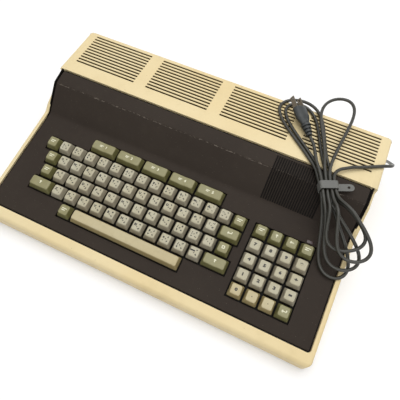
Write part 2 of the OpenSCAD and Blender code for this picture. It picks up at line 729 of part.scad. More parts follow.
last_strand = [for (u = [3, 13, 23, 34]) hank_point(u, -1.5 * strand_step - u * u * 0.002, 1)];
hank_points = concat([first_strand(1), first_strand(-3)],
    [for (f = folds, i = [0:rings_per_fold]) fold_point(f, i / rings_per_fold)],
    smooth(concat(last_strand, [plug_tail - 15 * plug_way, plug_tail - 4 * plug_way]), 3), [plug_tail]);

module cord_hank() { color(cord_grey) place() tube(hank_points, cord_r, 6); }

// The free stretch, from the strain relief to the tie
lead_points = [[192, 320, 26], [192, 327, 25], [193.5, 336, 22], [199, 344, 17], [207.5, 348, 11.5],
    [217, 347, 7], [225, 341, 4.6], [230, 331, 5], [231.5, 319, 10], [231.5, 306, 20], [231.5, 294, 32],
    [231.5, 282, 45], [231.5, 270, 57.5], [231, 259, 69], [227, 248.5, 78.5], [218, 241, 82.8],
    [206.5, 234.5, 83], [195.5, 228, 83.5], [184, 221.3, 84.6]];
lead_turn = [for (a = [70:-10:0]) hank_point(6 + 19 * sin(a), 1.5 * strand_step + 19 * (1 - cos(a)),
    mix(1, 0.55, ease(a / 70)))];
lead_path = concat(smooth(concat(lead_points, [lead_turn[0]]), 3), [for (i = [1:7]) lead_turn[i]],
    [first_strand(1)]);
module cord_lead() { color(cord_grey) place() tube(lead_path, cord_r, 8); }

plug_len = 24;
plug_neck = 18;
plug_half = 10.5;
plug_flat = 0.62;
plug_roll = 30;
plug_pitch = 3.5;
module at_plug() {
    place() translate(plug_tail) rotate([0, 0, plug_turn]) rotate([plug_pitch, 0, 0])
        rotate([0, plug_roll, 0]) children();
}
module mains_plug() {
    color([0.16, 0.17, 0.17]) at_plug() difference() {
        union() {
            rotate([-90, 0, 0]) rotate_extrude() polygon(concat([[0, 0]],
                [for (i = [0:3]) let (y = i * 4.4, r = 3.6 + i * 0.75)
                    each [[r, y], [r + 0.2, y + 2.7], [r - 1.1, y + 2.9], [r - 1.1, y + 4.2]]],
                [[5.2, plug_neck], [5.2, plug_neck + 4], [0, plug_neck + 4]]));
            translate([0, plug_neck, 0]) scale([1, 1, plug_flat]) rotate([-90, 0, 0]) rotate_extrude()
                polygon(concat([[0, -1], [5.5, -1]],
                    fillet([5.5, -1], [plug_half, 9], [plug_half, plug_len], 12),
                    fillet([plug_half, 9], [plug_half, plug_len], [0, plug_len], 2.5, 4), [[0, plug_len]]));
        }
        for (x = [-blade_gap / 2, blade_gap / 2]) translate([x - 1, plug_neck + plug_len - 8, -3.4])
            cube([2, 20, 6.8]);
    }
}
blade_gap = 12.7;
module plug_blades() {
    color(steel) at_plug() for (x = [-blade_gap / 2, blade_gap / 2])
        translate([x - 0.75, plug_neck + plug_len - 7.8, -3.1]) difference() {
            cube([1.5, 24, 6.2]);
            translate([-1, 20.5, 3.1]) rotate([0, 90, 0]) cylinder(r = 1.5, h = 4);
        }
}

tie_t = 1.2;
tie_r = 1.8;
tie_low = rest_z(waist[1]) - cord_r - 0.9;
module cord_tie() {
    span = 1.5 * strand_step + cord_r + 0.5;
    tall = level_step + 2 * cord_r + 1.5;
    slope = atan((rest_z(waist[1] + 4) - rest_z(waist[1] - 4)) / 8 * cos(waist_turn));
    color([0.47, 0.47, 0.46]) place() translate([waist[0], waist[1], tie_low]) rotate([0, 0, waist_turn])
        rotate([90 + slope, 0, 0]) union() {
            translate([0, 0, -tie_w / 2]) linear_extrude(tie_w) difference() {
                tie_outline(span + tie_t, tall + tie_t, tie_r + tie_t, -tie_t);
                tie_outline(span, tall, tie_r, 0);
            }
            translate([span + tie_t - eps, tall * 0.4, 0]) rotate([90, 0, 0]) linear_extrude(tie_t)
                difference() {
                    union() {
                        translate([0, -tie_w * 0.45]) square([16, tie_w * 0.9]);
                        translate([16, 0]) circle(tie_w * 0.45);
                    }
                    translate([14, 0]) circle(1.6);
                }
        }
}
module tie_outline(half, top, r, bottom) {
    union() {
        translate([-half + r, bottom]) square([2 * (half - r), top - bottom]);
        translate([-half, bottom + r]) square([2 * half, top - bottom - 2 * r]);
        for (sx = [-1, 1], cy = [bottom + r, top - r]) translate([sx * (half - r), cy]) circle(r);
    }
}

function path_length(p, i = 0) = i >= len(p) - 1 ? 0 : norm(p[i + 1] - p[i]) + path_length(p, i + 1);
// Least gap of the hank's tube to itself, between rings that are more than four diameters apart along it
function least_gap(p, d) = min([for (i = [0:len(p) - 1], j = [i + 5:len(p) - 1])
    if (path_between(p, i, j) > 4 * d) norm(p[i] - p[j])]) - d;
function path_between(p, i, j) = j - i > 12 ? 1000 : path_length([for (k = [i:j]) p[k]]);
echo(hank_gap = least_gap(hank_points, cord_d), hank = path_length(hank_points),
    lead = path_length(lead_path));

lower_case();
upper_case();
keyboard_bezel();
rear_panel();
rubber_feet();
case_screws();
main_board();
board_chips();
key_plate();
key_board();
key_switches();
power_board();
transformer();
heatsink();
capacitors();
expansion_socket();
round_sockets();
switch_housing();
power_switch();
reset_button();
power_lamp();
beeper();
ribbon_cable();
cord_gland();
cord_lead();
cord_hank();
mains_plug();
plug_blades();
cord_tie();
caps([green_cells[0]], olive);  // f1_key
caps([green_cells[1]], olive);  // f2_key
caps([green_cells[2]], olive);  // f3_key
caps([green_cells[3]], olive);  // f4_key
caps([green_cells[4]], olive);  // f5_key
caps([green_cells[5]], olive);  // escape_key
caps([green_cells[6]], olive);  // stop_key
caps([green_cells[7]], olive);  // tab_key
caps([green_cells[8]], olive);  // return_key
caps([green_cells[9]], olive);  // control_key
caps([green_cells[10]], olive);  // mode_key
caps([green_cells[11]], olive);  // left_shift_key
caps([green_cells[12]], olive);  // right_shift_key
caps([green_cells[13]], olive);  // graph_key
caps([space_cell], creamy, false);  // space_bar
caps(number_row, pale);  // number_keys
caps(upper_row, pale);  // upper_letter_keys
caps(middle_row, pale);  // middle_letter_keys
caps(lower_row, pale);  // lower_letter_keys
caps([pad_cell(0, 1)], olive);  // pad_home_key
caps([pad_cell(1, 1)], olive);  // pad_up_key
caps([pad_cell(2, 1)], olive);  // pad_left_key
caps([pad_cell(3, 1)], olive);  // pad_insert_key
caps([pad_cell(3, 5)], olive);  // pad_return_key
caps([for (c = [0:3]) pad_cell(c, 2)], pale);  // pad_seven_row
caps([for (c = [0:3]) pad_cell(c, 3)], pale);  // pad_four_row
caps([for (c = [0:3]) pad_cell(c, 4)], pale);  // pad_one_row
caps([for (c = [0:2]) pad_cell(c, 5)], creamy);  // pad_zero_row
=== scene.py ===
import math
import bpy
import bmesh
import numpy as np
from mathutils import Matrix
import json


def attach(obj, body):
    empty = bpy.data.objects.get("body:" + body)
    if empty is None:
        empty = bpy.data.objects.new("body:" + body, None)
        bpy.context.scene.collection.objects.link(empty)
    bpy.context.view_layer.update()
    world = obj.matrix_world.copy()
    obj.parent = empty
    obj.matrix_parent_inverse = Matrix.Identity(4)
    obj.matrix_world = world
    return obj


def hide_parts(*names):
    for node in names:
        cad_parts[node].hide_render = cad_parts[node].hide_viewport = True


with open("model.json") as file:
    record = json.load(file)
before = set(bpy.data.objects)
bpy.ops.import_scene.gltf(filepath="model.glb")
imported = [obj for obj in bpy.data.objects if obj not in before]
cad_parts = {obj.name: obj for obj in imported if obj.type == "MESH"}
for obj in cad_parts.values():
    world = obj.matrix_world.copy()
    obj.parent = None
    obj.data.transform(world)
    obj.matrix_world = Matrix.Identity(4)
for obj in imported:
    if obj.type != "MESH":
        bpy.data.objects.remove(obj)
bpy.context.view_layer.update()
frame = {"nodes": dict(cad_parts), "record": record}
scene = bpy.context.scene
mm = 0.001
bodyOf = {n: b for b, nodes in frame["record"]["behaviour"]["bodies"].items() for n in nodes}
slotOf = {p["node"]: p["material_slot"] for p in frame["record"]["subparts"]}

# sizes that several pieces share, in millimetres: Y from the case's front edge, Z from the table
caseSettings = {"width": 440.0, "depth": 290.0, "height": 80.0}
# from its front the dark panel is the keyboard deck, a steep slope between two creases and a strip
panelSettings = {
    "front": 15.0, "rear": 208.0, "halfWidth": 214.0, "rearHeight": 79.9, "deckTilt": 8.35,
    "crease": (155.693, 44.304), "upperCrease": (186.69, 74.9), "border": 1.6,
}
deckTilt = math.radians(panelSettings["deckTilt"])


# points in those millimetres as places in the part's frame
def partPlace(x, y, z):
    return np.stack(np.broadcast_arrays(x, np.subtract(y, caseSettings["depth"] / 2), z), -1) * mm


# from 0 to 1 with level ends: 3 t squared less 2 t cubed
def ease(t):
    c = np.clip(t, 0, 1)
    return c * c * (3 - 2 * c)


# linear colour from 0-255 screen values
def tone(screen):
    v = np.array(screen) / 255
    lin = np.where(v <= 0.04045, v / 12.92, ((v + 0.055) / 1.055) ** 2.4)
    return (*lin.tolist(), 1.0)


# matrix of something that looks from a place at an aim, level, then rolled about its line of sight
def lookMatrix(place, aim=(0, 0, 0), roll=0.0):
    back = np.subtract(place, aim)
    back /= np.linalg.norm(back)
    level = np.cross([0, 0, 1.0], back)
    level /= np.linalg.norm(level)
    right = level * math.cos(roll) + np.cross(back, level) * math.sin(roll)
    m = np.eye(4)
    m[:3] = np.stack([right, np.cross(back, right), back, place], -1)
    return Matrix(m.tolist())


# camera: places in metres, roll in degrees
cameraSettings = {
    "place": (0.118351, -0.234324, 0.472251), "aim": (0.019278, -0.002939, 0.0), "roll": 2.42,
    "lens": 35.38, "sensor": 36.0, "shift": (0.00912, 0.00133), "near": 0.01,
}


def placeCamera(s=cameraSettings):
    camera = bpy.data.objects.new("studioCamera", bpy.data.cameras.new("studioCamera"))
    scene.collection.objects.link(camera)
    camera.matrix_world = lookMatrix(s["place"], s["aim"], math.radians(s["roll"]))
    camera.data.lens = s["lens"]
    camera.data.sensor_width = s["sensor"]
    camera.data.shift_x, camera.data.shift_y = s["shift"]
    camera.data.clip_start = s["near"]
    scene.camera = camera


placeCamera()
print("camera placed")


# mesh helpers
def newPiece(name, points, faces, material, body="case", smooth=True):
    mesh = bpy.data.meshes.new(name)
    mesh.from_pydata(points.tolist(), [], faces)
    mesh.validate()
    if smooth:
        mesh.shade_smooth()
    obj = bpy.data.objects.new(name, mesh)
    scene.collection.objects.link(obj)
    obj.data.materials.append(material)
    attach(obj, body)
    return obj


# quads of a closed grid of rows by columns of points: the last column joins the first
def gridFaces(rows, columns):
    i = np.arange(rows - 1)[:, None] * columns
    j = np.arange(columns)[None, :]
    k = (j + 1) % columns
    return np.stack([i + j, i + k, i + columns + k, i + columns + j], -1).reshape(-1, 4).tolist()


# several parts, each its points and faces, as one
def joined(parts):
    points, faces = [], []
    base = 0
    for partPoints, partFaces in parts:
        points.append(partPoints)
        faces += [[base + v for v in face] for face in partFaces]
        base += len(partPoints)
    return np.vstack(points), faces


# per-point uv values written to every corner
def addUv(mesh, uv):
    layer = mesh.uv_layers.new(name="route")
    corner = np.empty(len(mesh.loops), dtype=np.int32)
    mesh.loops.foreach_get("vertex_index", corner)
    layer.data.foreach_set("uv", uv[corner].astype(np.float32).ravel())


# shader nodes: a plain value goes on the socket itself, an output is linked to it
def feed(tree, node, values):
    for key, value in values.items():
        if isinstance(value, (int, float, tuple)):
            node.inputs[key].default_value = value
        else:
            tree.links.new(value, node.inputs[key])


# outputs of a new node, with its settings made and its inputs, by name or number, fed
def newNode(tree, kind, values, **settings):
    node = tree.nodes.new("ShaderNode" + kind)
    for key, value in settings.items():
        setattr(node, key, value)
    feed(tree, node, values)
    return node.outputs


def objectCoords(tree):
    return newNode(tree, "TexCoord", {})["Object"]


def splitNode(tree, vector):
    return newNode(tree, "SeparateXYZ", {0: vector})


def mathNode(tree, operation, a, b, clamp=False):
    return newNode(tree, "Math", {0: a, 1: b}, operation=operation, use_clamp=clamp)[0]


def vectorNode(tree, operation, *values):
    out = newNode(tree, "VectorMath", dict(enumerate(values)), operation=operation)
    return out["Value" if operation in ("LENGTH", "DOT_PRODUCT") else "Vector"]


def rangeNode(tree, value, low, high, toLow=0.0, toHigh=1.0):
    given = {"Value": value, "From Min": low, "From Max": high, "To Min": toLow, "To Max": toHigh}
    return newNode(tree, "MapRange", given, interpolation_type="SMOOTHSTEP")["Result"]


def noiseNode(tree, vector, scale, detail, rough):
    given = {"Vector": vector, "Scale": scale, "Detail": detail, "Roughness": rough}
    return newNode(tree, "TexNoise", given)["Fac"]


def mixColour(tree, factor, a, b):
    return newNode(tree, "Mix", {0: factor, 6: a, 7: b}, data_type="RGBA")[2]


# new node group: a number makes a value input, three numbers a vector input; its outputs are values
def newGroup(name, inputs, outputs=("Mask",)):
    tree = bpy.data.node_groups.new(name, "ShaderNodeTree")
    for label, value in inputs.items():
        kind = "NodeSocketVector" if isinstance(value, tuple) else "NodeSocketFloat"
        socket = tree.interface.new_socket(label, in_out="INPUT", socket_type=kind)
        socket.default_value = value
    for label in outputs:
        tree.interface.new_socket(label, in_out="OUTPUT", socket_type="NodeSocketFloat")
    return tree, tree.nodes.new("NodeGroupInput").outputs, tree.nodes.new("NodeGroupOutput")


# 1 where the surface turns sharply within a radius, broken up by noise
def edgeWearGroup():
    tree, given, out = newGroup("edgeWear", {"Radius": 0.0008, "Amount": 0.6})
    eased = newNode(tree, "Bevel", {"Radius": given["Radius"]}, samples=4)[0]
    normal = newNode(tree, "NewGeometry", {})["Normal"]
    turned = rangeNode(tree, vectorNode(tree, "DOT_PRODUCT", eased, normal), 0.99, 0.78)
    patches = rangeNode(tree, noiseNode(tree, objectCoords(tree), 160.0, 4.0, 0.55), 0.36, 0.62)
    mask = mathNode(tree, "MULTIPLY", turned, patches)
    feed(tree, out, {"Mask": mathNode(tree, "MULTIPLY", mask, given["Amount"], clamp=True)})
    return tree


# spark-eroded mould grain as a height: fine noise and 0.6 of a coarser one
def grainGroup():
    tree, given, out = newGroup("mouldGrain", {"Scale": 2600.0}, ["Height"])
    coords = objectCoords(tree)
    fine = noiseNode(tree, coords, given["Scale"], 2.0, 0.6)
    coarse = noiseNode(tree, coords, mathNode(tree, "MULTIPLY", given["Scale"], 0.35), 2.0, 0.5)
    feed(tree, out, {"Height": mathNode(tree, "ADD", fine, mathNode(tree, "MULTIPLY", coarse, 0.6))})
    return tree


# slow, uneven yellowing and a thin film of grime, as two masks
def ageGroup():
    tree, given, out = newGroup("ageing", {"Size": 9.0}, ["Yellow", "Grime"])
    coords = objectCoords(tree)
    slow = noiseNode(tree, coords, given["Size"], 3.0, 0.5)
    film = noiseNode(tree, coords, mathNode(tree, "MULTIPLY", given["Size"], 6.5), 6.0, 0.65)
    feed(tree, out, {"Yellow": rangeNode(tree, slow, 0.3, 0.72),
                     "Grime": rangeNode(tree, film, 0.48, 0.78)})
    return tree


# sparse pale specks of dust: the middles of cells, of which a threshold keeps few
def speckGroup():
    tree, given, out = newGroup("dustSpecks", {"Scale": 420.0, "Cover": 0.12})
    cells = newNode(tree, "TexVoronoi", {"Vector": objectCoords(tree), "Scale": given["Scale"]})
    near = rangeNode(tree, cells["Distance"], 0.22, 0.08)
    chance = newNode(tree, "SeparateColor", {0: cells["Color"]})[0]
    few = mathNode(tree, "LESS_THAN", chance, given["Cover"])
    feed(tree, out, {"Mask": mathNode(tree, "MULTIPLY", near, few)})
    return tree


# 1 inside a box, fading out over a margin: the least of the three distances to its faces
def boxGroup():
    none = (0.0, 0.0, 0.0)
    tree, given, out = newGroup("insideBox", {"Middle": none, "Half": none, "Margin": 0.0005})
    away = vectorNode(tree, "SUBTRACT", objectCoords(tree), given["Middle"])
    room = splitNode(tree, vectorNode(tree, "SUBTRACT", given["Half"], vectorNode(tree, "ABSOLUTE", away)))
    least = mathNode(tree, "MINIMUM", mathNode(tree, "MINIMUM", room[0], room[1]), room[2])
    feed(tree, out, {"Mask": rangeNode(tree, least, 0.0, given["Margin"])})
    return tree


# evenly pitched furrows that run in depth: 1 where the way to the nearest furrow's middle is under half the
# width, softened over 0.1 mm
def furrowGroup():
    tree, given, out = newGroup("furrows", {"First": 0.0, "Pitch": 0.003, "Width": 0.001})
    across = mathNode(tree, "SUBTRACT", splitNode(tree, objectCoords(tree))[0], given["First"])
    turns = mathNode(tree, "DIVIDE", across, given["Pitch"])
    away = mathNode(tree, "MULTIPLY", mathNode(tree, "PINGPONG", turns, 0.5), given["Pitch"])
    inside = mathNode(tree, "SUBTRACT", mathNode(tree, "MULTIPLY", given["Width"], 0.5), away)
    feed(tree, out, {"Mask": rangeNode(tree, inside, -0.00005, 0.00005)})
    return tree


# scuffs along a crease that runs across X: close to its line, kept where a stretched noise is high
def scuffGroup():
    tree, given, out = newGroup("creaseScuffs", {"Line": (0.0, 0.0, 0.0), "Reach": 0.001, "Least": 0.6})
    coords = objectCoords(tree)
    away = vectorNode(tree, "MULTIPLY", vectorNode(tree, "SUBTRACT", coords, given["Line"]), (0, 1, 1))
    near = rangeNode(tree, vectorNode(tree, "LENGTH", away), given["Reach"], 0.0)
    along = noiseNode(tree, vectorNode(tree, "MULTIPLY", coords, (1, 6, 6)), 150.0, 5.0, 0.7)
    kept = rangeNode(tree, along, given["Least"], mathNode(tree, "ADD", given["Least"], 0.05))
    feed(tree, out, {"Mask": mathNode(tree, "MULTIPLY", near, kept)})
    return tree


groups = {"wear": edgeWearGroup(), "grain": grainGroup(), "age": ageGroup(), "specks": speckGroup(),
          "box": boxGroup(), "scuffs": scuffGroup(), "furrows": furrowGroup()}


def useGroup(tree, key, **values):
    return newNode(tree, "Group", values, node_tree=groups[key])


# mask of a box between two corners, given in millimetres, that fades over some metres
def boxMask(tree, corners, fade):
    low, high = (partPlace(*corner) for corner in corners)
    middle, half = tuple((low + high) / 2), tuple((high - low) / 2)
    return useGroup(tree, "box", Middle=middle, Half=half, Margin=fade)["Mask"]


# what a finish has unless it says otherwise
plainFinish = {"patch": 40.0, "yellowing": 0.5, "grime": 0.3, "wearRadius": 0.0007, "grain": 2600.0,
               "grainDepth": 0.00012, "bump": 0.2, "rough": 0.5, "grimeRough": 0.12, "specular": 0.45,
               "metal": 0.0, "coat": 0.0, "coatRough": 0.25, "scuffReach": 0.0012, "scuffLeast": 0.56,
               "speckStrength": 0.4, "fade": 0.0006, "borderShadeFade": 0.0004}


# an aged surface: masks lay one colour after another over the base, and grain bends the normal
def agedSurface(name, given):
    s = {**plainFinish, **given}
    material = bpy.data.materials.new(name)
    material.use_nodes = True
    tree = material.node_tree
    age = useGroup(tree, "age", Size=s["patch"])
    layers = [(mathNode(tree, "MULTIPLY", age["Yellow"], s["yellowing"]), "aged"),
              (mathNode(tree, "MULTIPLY", age["Grime"], s["grime"]), "dirt")]
    if "specks" in s:
        specks = useGroup(tree, "specks", Scale=s["speckScale"], Cover=s["specks"])
        layers.append((mathNode(tree, "MULTIPLY", specks["Mask"], s["speckStrength"]), "speck"))
    if "wear" in s:
        layers.append((useGroup(tree, "wear", Radius=s["wearRadius"], Amount=s["wear"])["Mask"], "worn"))
    # dust and painted shade inside the vent slots
    if "hollow" in s:
        layers.append((boxMask(tree, s["hollow"], s["fade"]), "shade"))
    if "furrows" in s:
        field = boxMask(tree, s["field"], s["fade"])
        sizes = {key.capitalize(): s["furrows"][key] * mm for key in ("first", "pitch", "width")}
        furrows = useGroup(tree, "furrows", **sizes)
        # the ribbed field darkened towards the ridge colour, then painted shade in its furrows
        layers += [(mathNode(tree, "MULTIPLY", field, s["ridgeStrength"]), "ridge"),
                   (mathNode(tree, "MULTIPLY", field, furrows["Mask"]), "furrow")]
    # painted shadow of the gap round the panel, along its border
    if "inside" in s:
        layers.append((mathNode(tree, "SUBTRACT", 1.0, boxMask(tree, s["inside"], s["borderShadeFade"])), "edge"))
    if "crease" in s:
        scuffs = useGroup(tree, "scuffs", Line=tuple(partPlace(*s["crease"])), Reach=s["scuffReach"],
                          Least=s["scuffLeast"])
        layers.append((scuffs["Mask"], "scuff"))
    colour = tone(s["colour"])
    for mask, key in layers:
        colour = mixColour(tree, mask, colour, tone(s[key]))
    rough = rangeNode(tree, age["Grime"], 0.0, 1.0, s["rough"], s["rough"] + s["grimeRough"])
    grain = useGroup(tree, "grain", Scale=s["grain"])["Height"]
    bump = newNode(tree, "Bump", {"Strength": s["bump"], "Distance": s["grainDepth"], "Height": grain})
    feed(tree, tree.nodes["Principled BSDF"], {
        "Base Color": colour, "Roughness": rough, "Normal": bump["Normal"], "Metallic": s["metal"],
        "Specular IOR Level": s["specular"], "Coat Weight": s["coat"], "Coat Roughness": s["coatRough"]})
    return material


# the panel's ribbed field, in millimetres; its furrows stop short of the crease and of the rear
furrowSettings = {"first": 164.75, "pitch": 3.0, "width": 1.5, "count": 23, "fromCrease": 2.0,
                  "fromRear": 4.0, "top": 90.0}


def furrowField(s=furrowSettings, p=panelSettings):
    last = s["first"] - (s["count"] - 1) * s["pitch"]
    return ((last - s["pitch"] / 2, p["crease"][0] + s["fromCrease"], 0),
            (s["first"] + s["pitch"] / 2, p["rear"] - s["fromRear"], s["top"]))


# the panel without its border, which is darkened with painted shadow of the gap round it
def panelInside(s=furrowSettings, p=panelSettings):
    side, edge = p["halfWidth"] - p["border"], p["border"]
    return (-side, p["front"] + edge, 0), (side, p["rear"] - edge, s["top"])


# colours as 0-255 screen values; the hollow of the vent slots, darkened by dust and painted shade, and the
# scuffed crease in millimetres
finishes = {
    "creamShell": {"colour": (233, 215, 170), "aged": (226, 203, 150), "dirt": (186, 163, 118),
        "rough": 0.48, "yellowing": 0.75, "grime": 0.16, "wear": 0.3, "worn": (244, 232, 200),
        "patch": 6.0, "bump": 0.3, "specks": 0.03, "speck": (150, 128, 92),
        # the vent slots' hollow is darkened by dust and painted shade
        "speckScale": 300.0, "shade": (78, 58, 26),
        "hollow": ((-207.5, 222.5, 59.3), (207.5, 283.5, 79.3))},
    "creamBase": {"colour": (232, 210, 156), "aged": (222, 197, 140), "dirt": (170, 146, 102),
        "yellowing": 0.75, "grime": 0.2, "wear": 0.25, "worn": (240, 226, 190), "patch": 6.0,
        "bump": 0.3},
    "darkPanel": {"colour": (56, 49, 43), "aged": (50, 43, 38), "dirt": (72, 64, 56), "rough": 0.55,
        "yellowing": 0.6, "grime": 0.22, "wear": 0.5, "worn": (108, 96, 84), "patch": 12.0, "bump": 0.4,
        "specks": 0.08, "speck": (130, 122, 110), "speckScale": 520.0,
        "specular": 0.08, "scuff": (150, 140, 128), "furrows": furrowSettings, "field": furrowField(),
        # the furrow colour is painted shade in the grooves of the ribbed field
        "ridgeStrength": 0.5, "ridge": (24, 20, 17), "furrow": (16, 13, 11), "inside": panelInside(),
        # the edge colour is painted shadow of the gap round the panel, on its border
        "edge": (18, 15, 12), "crease": (0, 186.2, 74.2)},
    # the skirt finishes are the caps' own colours darkened with painted shade for their sides
    "paleKey": {"colour": (184, 178, 154), "aged": (177, 168, 137), "dirt": (134, 127, 102),
        "rough": 0.42, "yellowing": 0.6, "grime": 0.2, "bump": 0.15},
    "paleSkirtShaded": {"colour": (162, 155, 136), "aged": (154, 144, 122), "dirt": (122, 112, 91),
        "yellowing": 0.6},
    "oliveKey": {"colour": (143, 139, 101), "aged": (137, 130, 88), "dirt": (106, 101, 69),
        "rough": 0.42, "yellowing": 0.6, "grime": 0.2, "bump": 0.15},
    "oliveSkirtShaded": {"colour": (112, 109, 68), "aged": (105, 101, 61), "dirt": (83, 79, 48),
        "yellowing": 0.6},
    "creamKey": {"colour": (192, 180, 143), "aged": (184, 168, 125), "dirt": (144, 130, 94),
        "rough": 0.42, "yellowing": 0.7, "grime": 0.2, "patch": 22.0, "bump": 0.15},
    "creamSkirtShaded": {"colour": (160, 144, 100), "aged": (150, 134, 92), "dirt": (120, 104, 68),
        "yellowing": 0.7, "patch": 22.0},
    # painted shadow for the foot of each skirt, where neighbouring caps shade it
    "skirtFootShadow": {"colour": (58, 52, 38), "aged": (50, 45, 32), "dirt": (36, 32, 22), "rough": 0.6,
        "yellowing": 0.6, "grime": 0.4, "specular": 0.2},
    "darkMark": {"colour": (40, 38, 35), "aged": (46, 43, 39), "dirt": (64, 60, 54), "patch": 60.0,
        "bump": 0.0, "grime": 0.15},
    "paleMark": {"colour": (226, 224, 196), "aged": (218, 214, 182), "dirt": (184, 180, 148),
        "patch": 60.0, "bump": 0.0, "grime": 0.15},
    "cordJacket": {"colour": (45, 44, 36), "aged": (41, 40, 32), "dirt": (66, 63, 52), "rough": 0.32,
        "yellowing": 0.6, "patch": 50.0, "bump": 0.12, "specular": 0.5},
    "plugRubber": {"colour": (43, 47, 47), "aged": (39, 42, 42), "dirt": (66, 67, 64), "rough": 0.4,
        "yellowing": 0.6, "wear": 0.3, "worn": (110, 110, 106), "patch": 50.0, "bump": 0.3},
    "tieRubber": {"colour": (102, 102, 98), "aged": (95, 95, 91), "dirt": (96, 95, 90), "yellowing": 0.6,
        "grime": 0.4, "wear": 0.4, "worn": (160, 160, 154), "patch": 60.0, "bump": 0.5, "grain": 1500.0},
    "footRubber": {"colour": (48, 47, 46), "aged": (44, 43, 42), "dirt": (78, 76, 72), "rough": 0.7,
        "grime": 0.5, "patch": 50.0, "bump": 0.4},
    "blackPlastic": {"colour": (44, 43, 42), "aged": (40, 39, 38), "dirt": (70, 68, 64), "rough": 0.45,
        "wear": 0.3, "worn": (90, 88, 84)},
    "switchPlastic": {"colour": (36, 36, 38), "aged": (32, 32, 34), "dirt": (58, 56, 54), "grime": 0.4,
        "bump": 0.15},
    "resetPlastic": {"colour": (150, 48, 40), "aged": (138, 42, 36), "dirt": (96, 40, 34), "rough": 0.35,
        "grime": 0.2, "bump": 0.1},
    "lampLens": {"colour": (52, 26, 24), "aged": (46, 22, 20), "dirt": (70, 50, 44), "rough": 0.22,
        "grime": 0.2, "bump": 0.0, "coat": 0.5},
    "blackSteel": {"colour": (20, 19, 18), "aged": (17, 16, 15), "dirt": (40, 38, 35), "rough": 0.6,
        "specular": 0.2},
    "dullBrass": {"colour": (124, 116, 104), "aged": (104, 96, 84), "dirt": (64, 58, 50), "rough": 0.45,
        "grime": 0.6, "metal": 1.0, "patch": 90.0},
    "platedSteel": {"colour": (196, 194, 188), "aged": (184, 180, 172), "dirt": (120, 114, 104),
        "rough": 0.3, "grime": 0.4, "metal": 1.0, "bump": 0.1},
    "darkSteel": {"colour": (66, 60, 56), "aged": (60, 54, 50), "dirt": (92, 84, 76), "rough": 0.42,
        "wear": 0.4, "worn": (140, 134, 126), "patch": 20.0, "bump": 0.3},
    "coolerMetal": {"colour": (180, 182, 184), "aged": (170, 171, 172), "dirt": (120, 118, 112),
        "rough": 0.4, "metal": 1.0},
    "coreMetal": {"colour": (120, 116, 108), "aged": (108, 100, 88), "dirt": (84, 66, 46), "grime": 0.5,
        "metal": 0.6, "patch": 60.0, "bump": 0.3},
    "greenBoard": {"colour": (44, 92, 58), "aged": (40, 84, 52), "dirt": (86, 96, 66), "rough": 0.35,
        "coat": 0.4},
    "brownBoard": {"colour": (150, 118, 66), "aged": (140, 106, 56), "dirt": (104, 82, 50),
        "rough": 0.45},
    "blueSleeve": {"colour": (46, 62, 116), "aged": (40, 56, 104), "dirt": (70, 74, 94), "rough": 0.3,
        "grime": 0.2, "patch": 60.0, "bump": 0.05},
    "ribbonGrey": {"colour": (176, 172, 160), "aged": (166, 160, 142), "dirt": (130, 124, 108),
        "rough": 0.45, "bump": 0.1},
}
finish = {name: agedSurface(name, given) for name, given in finishes.items()}
print("finishes ready:", len(finish))


# height of the keyboard deck's plane at a depth
def deckHeight(y, p=panelSettings):
    return p["crease"][1] + (y - p["crease"][0]) * math.tan(deckTilt)


# mains lead: the hank has a frame of its own at the tie, in strands across and strands up
cordSettings = {
    "diameter": 4.0, "sides": 12, "upright": (0.09, 0.06, 1.0), "rim": 1.2, "clear": 0.6, "seat": 0.3,
    "climb": (100.0, 184.0), "foldSteps": 24, "endSteps": 3, "routeSteps": 2,
    "waist": (165.0, 182.6), "waistTurn": 25.0, "waistStraight": 7.0, "strandStep": 4.8, "levelStep": 5.9,
    "entryColumn": 1.5, "entryStart": 6.0, "entryRadius": 19.0, "entrySweep": 70, "entryStep": 10,
    "entryLevels": (1.0, 0.55), "tieRun": (1.0, -3.0), "exitColumn": -1.5, "exitBend": 0.002,
    "exitRun": (3.0, 13.0, 23.0, 34.0), "driftSoft": 0.0225, "bulgePeak": 0.385,
    # reach, drift, half width, column and level in, column and level out, tip level, climb start and end
    "folds": [
        (-84, 21, 15, 1.5, 1, 0.5, 1, 3.45, 0.02, 0.42),
        (130, 36, 19.5, 0.5, 1, -0.5, 1, 0.95, 0.5, 1),
        (-71, 16, 16.5, -0.5, 1, 1.5, 0, 2.3, 0.02, 0.45),
        (132, -23.6, 21.3, 1.5, 0, -1.5, 0, 0, 0.1, 0.5),
        (-94, 12, 12.75, -1.5, 0, 0.5, 0, 0, 0.05, 0.3),
        (125, -23, 16.5, 0.5, 0, -0.5, 0, 0, 0.1, 0.5),
        (-88, 23, 15.75, -0.5, 0, -1.5, 1, 1.27, 0.02, 0.26)],
    "lead": [(192, 320, 26), (192, 327, 25), (193.5, 336, 22), (199, 344, 17), (207.5, 348, 11.5),
             (217, 347, 7), (225, 341, 4.6), (230, 331, 5), (231.5, 319, 10), (231.5, 306, 20),
             (231.5, 294, 32), (231.5, 282, 45), (231.5, 270, 57.5), (231, 259, 69), (227, 248.5, 78.5),
             (218, 241, 82.8), (206.5, 234.5, 83), (195.5, 228, 83.5), (184, 221.3, 84.6)],
    "plugTail": (124.0, 241.0, 87.8), "plugTurn": 37.0, "plugRun": (15.0, 4.0),
}


# height of the lowest strand over the case, from the keyboard deck up to the rear deck
def restHeight(y, s=cordSettings):
    start, end = s["climb"]
    low, high = deckHeight(y) + s["rim"] + s["clear"], caseSettings["height"] + s["seat"]
    return low + (high - low) * ease((y - start) / (end - start)) + s["diameter"] / 2


# points of the hank's own frame: along runs out from the tie, side across it, level in strands up
def hankPoints(along, side, level, s=cordSettings):
    a = math.radians(s["waistTurn"])
    x = s["waist"][0] - along * math.sin(a) + side * math.cos(a)
    y = s["waist"][1] + along * math.cos(a) + side * math.sin(a)
    return np.stack([x, y, restHeight(y) + level * s["levelStep"]], -1)


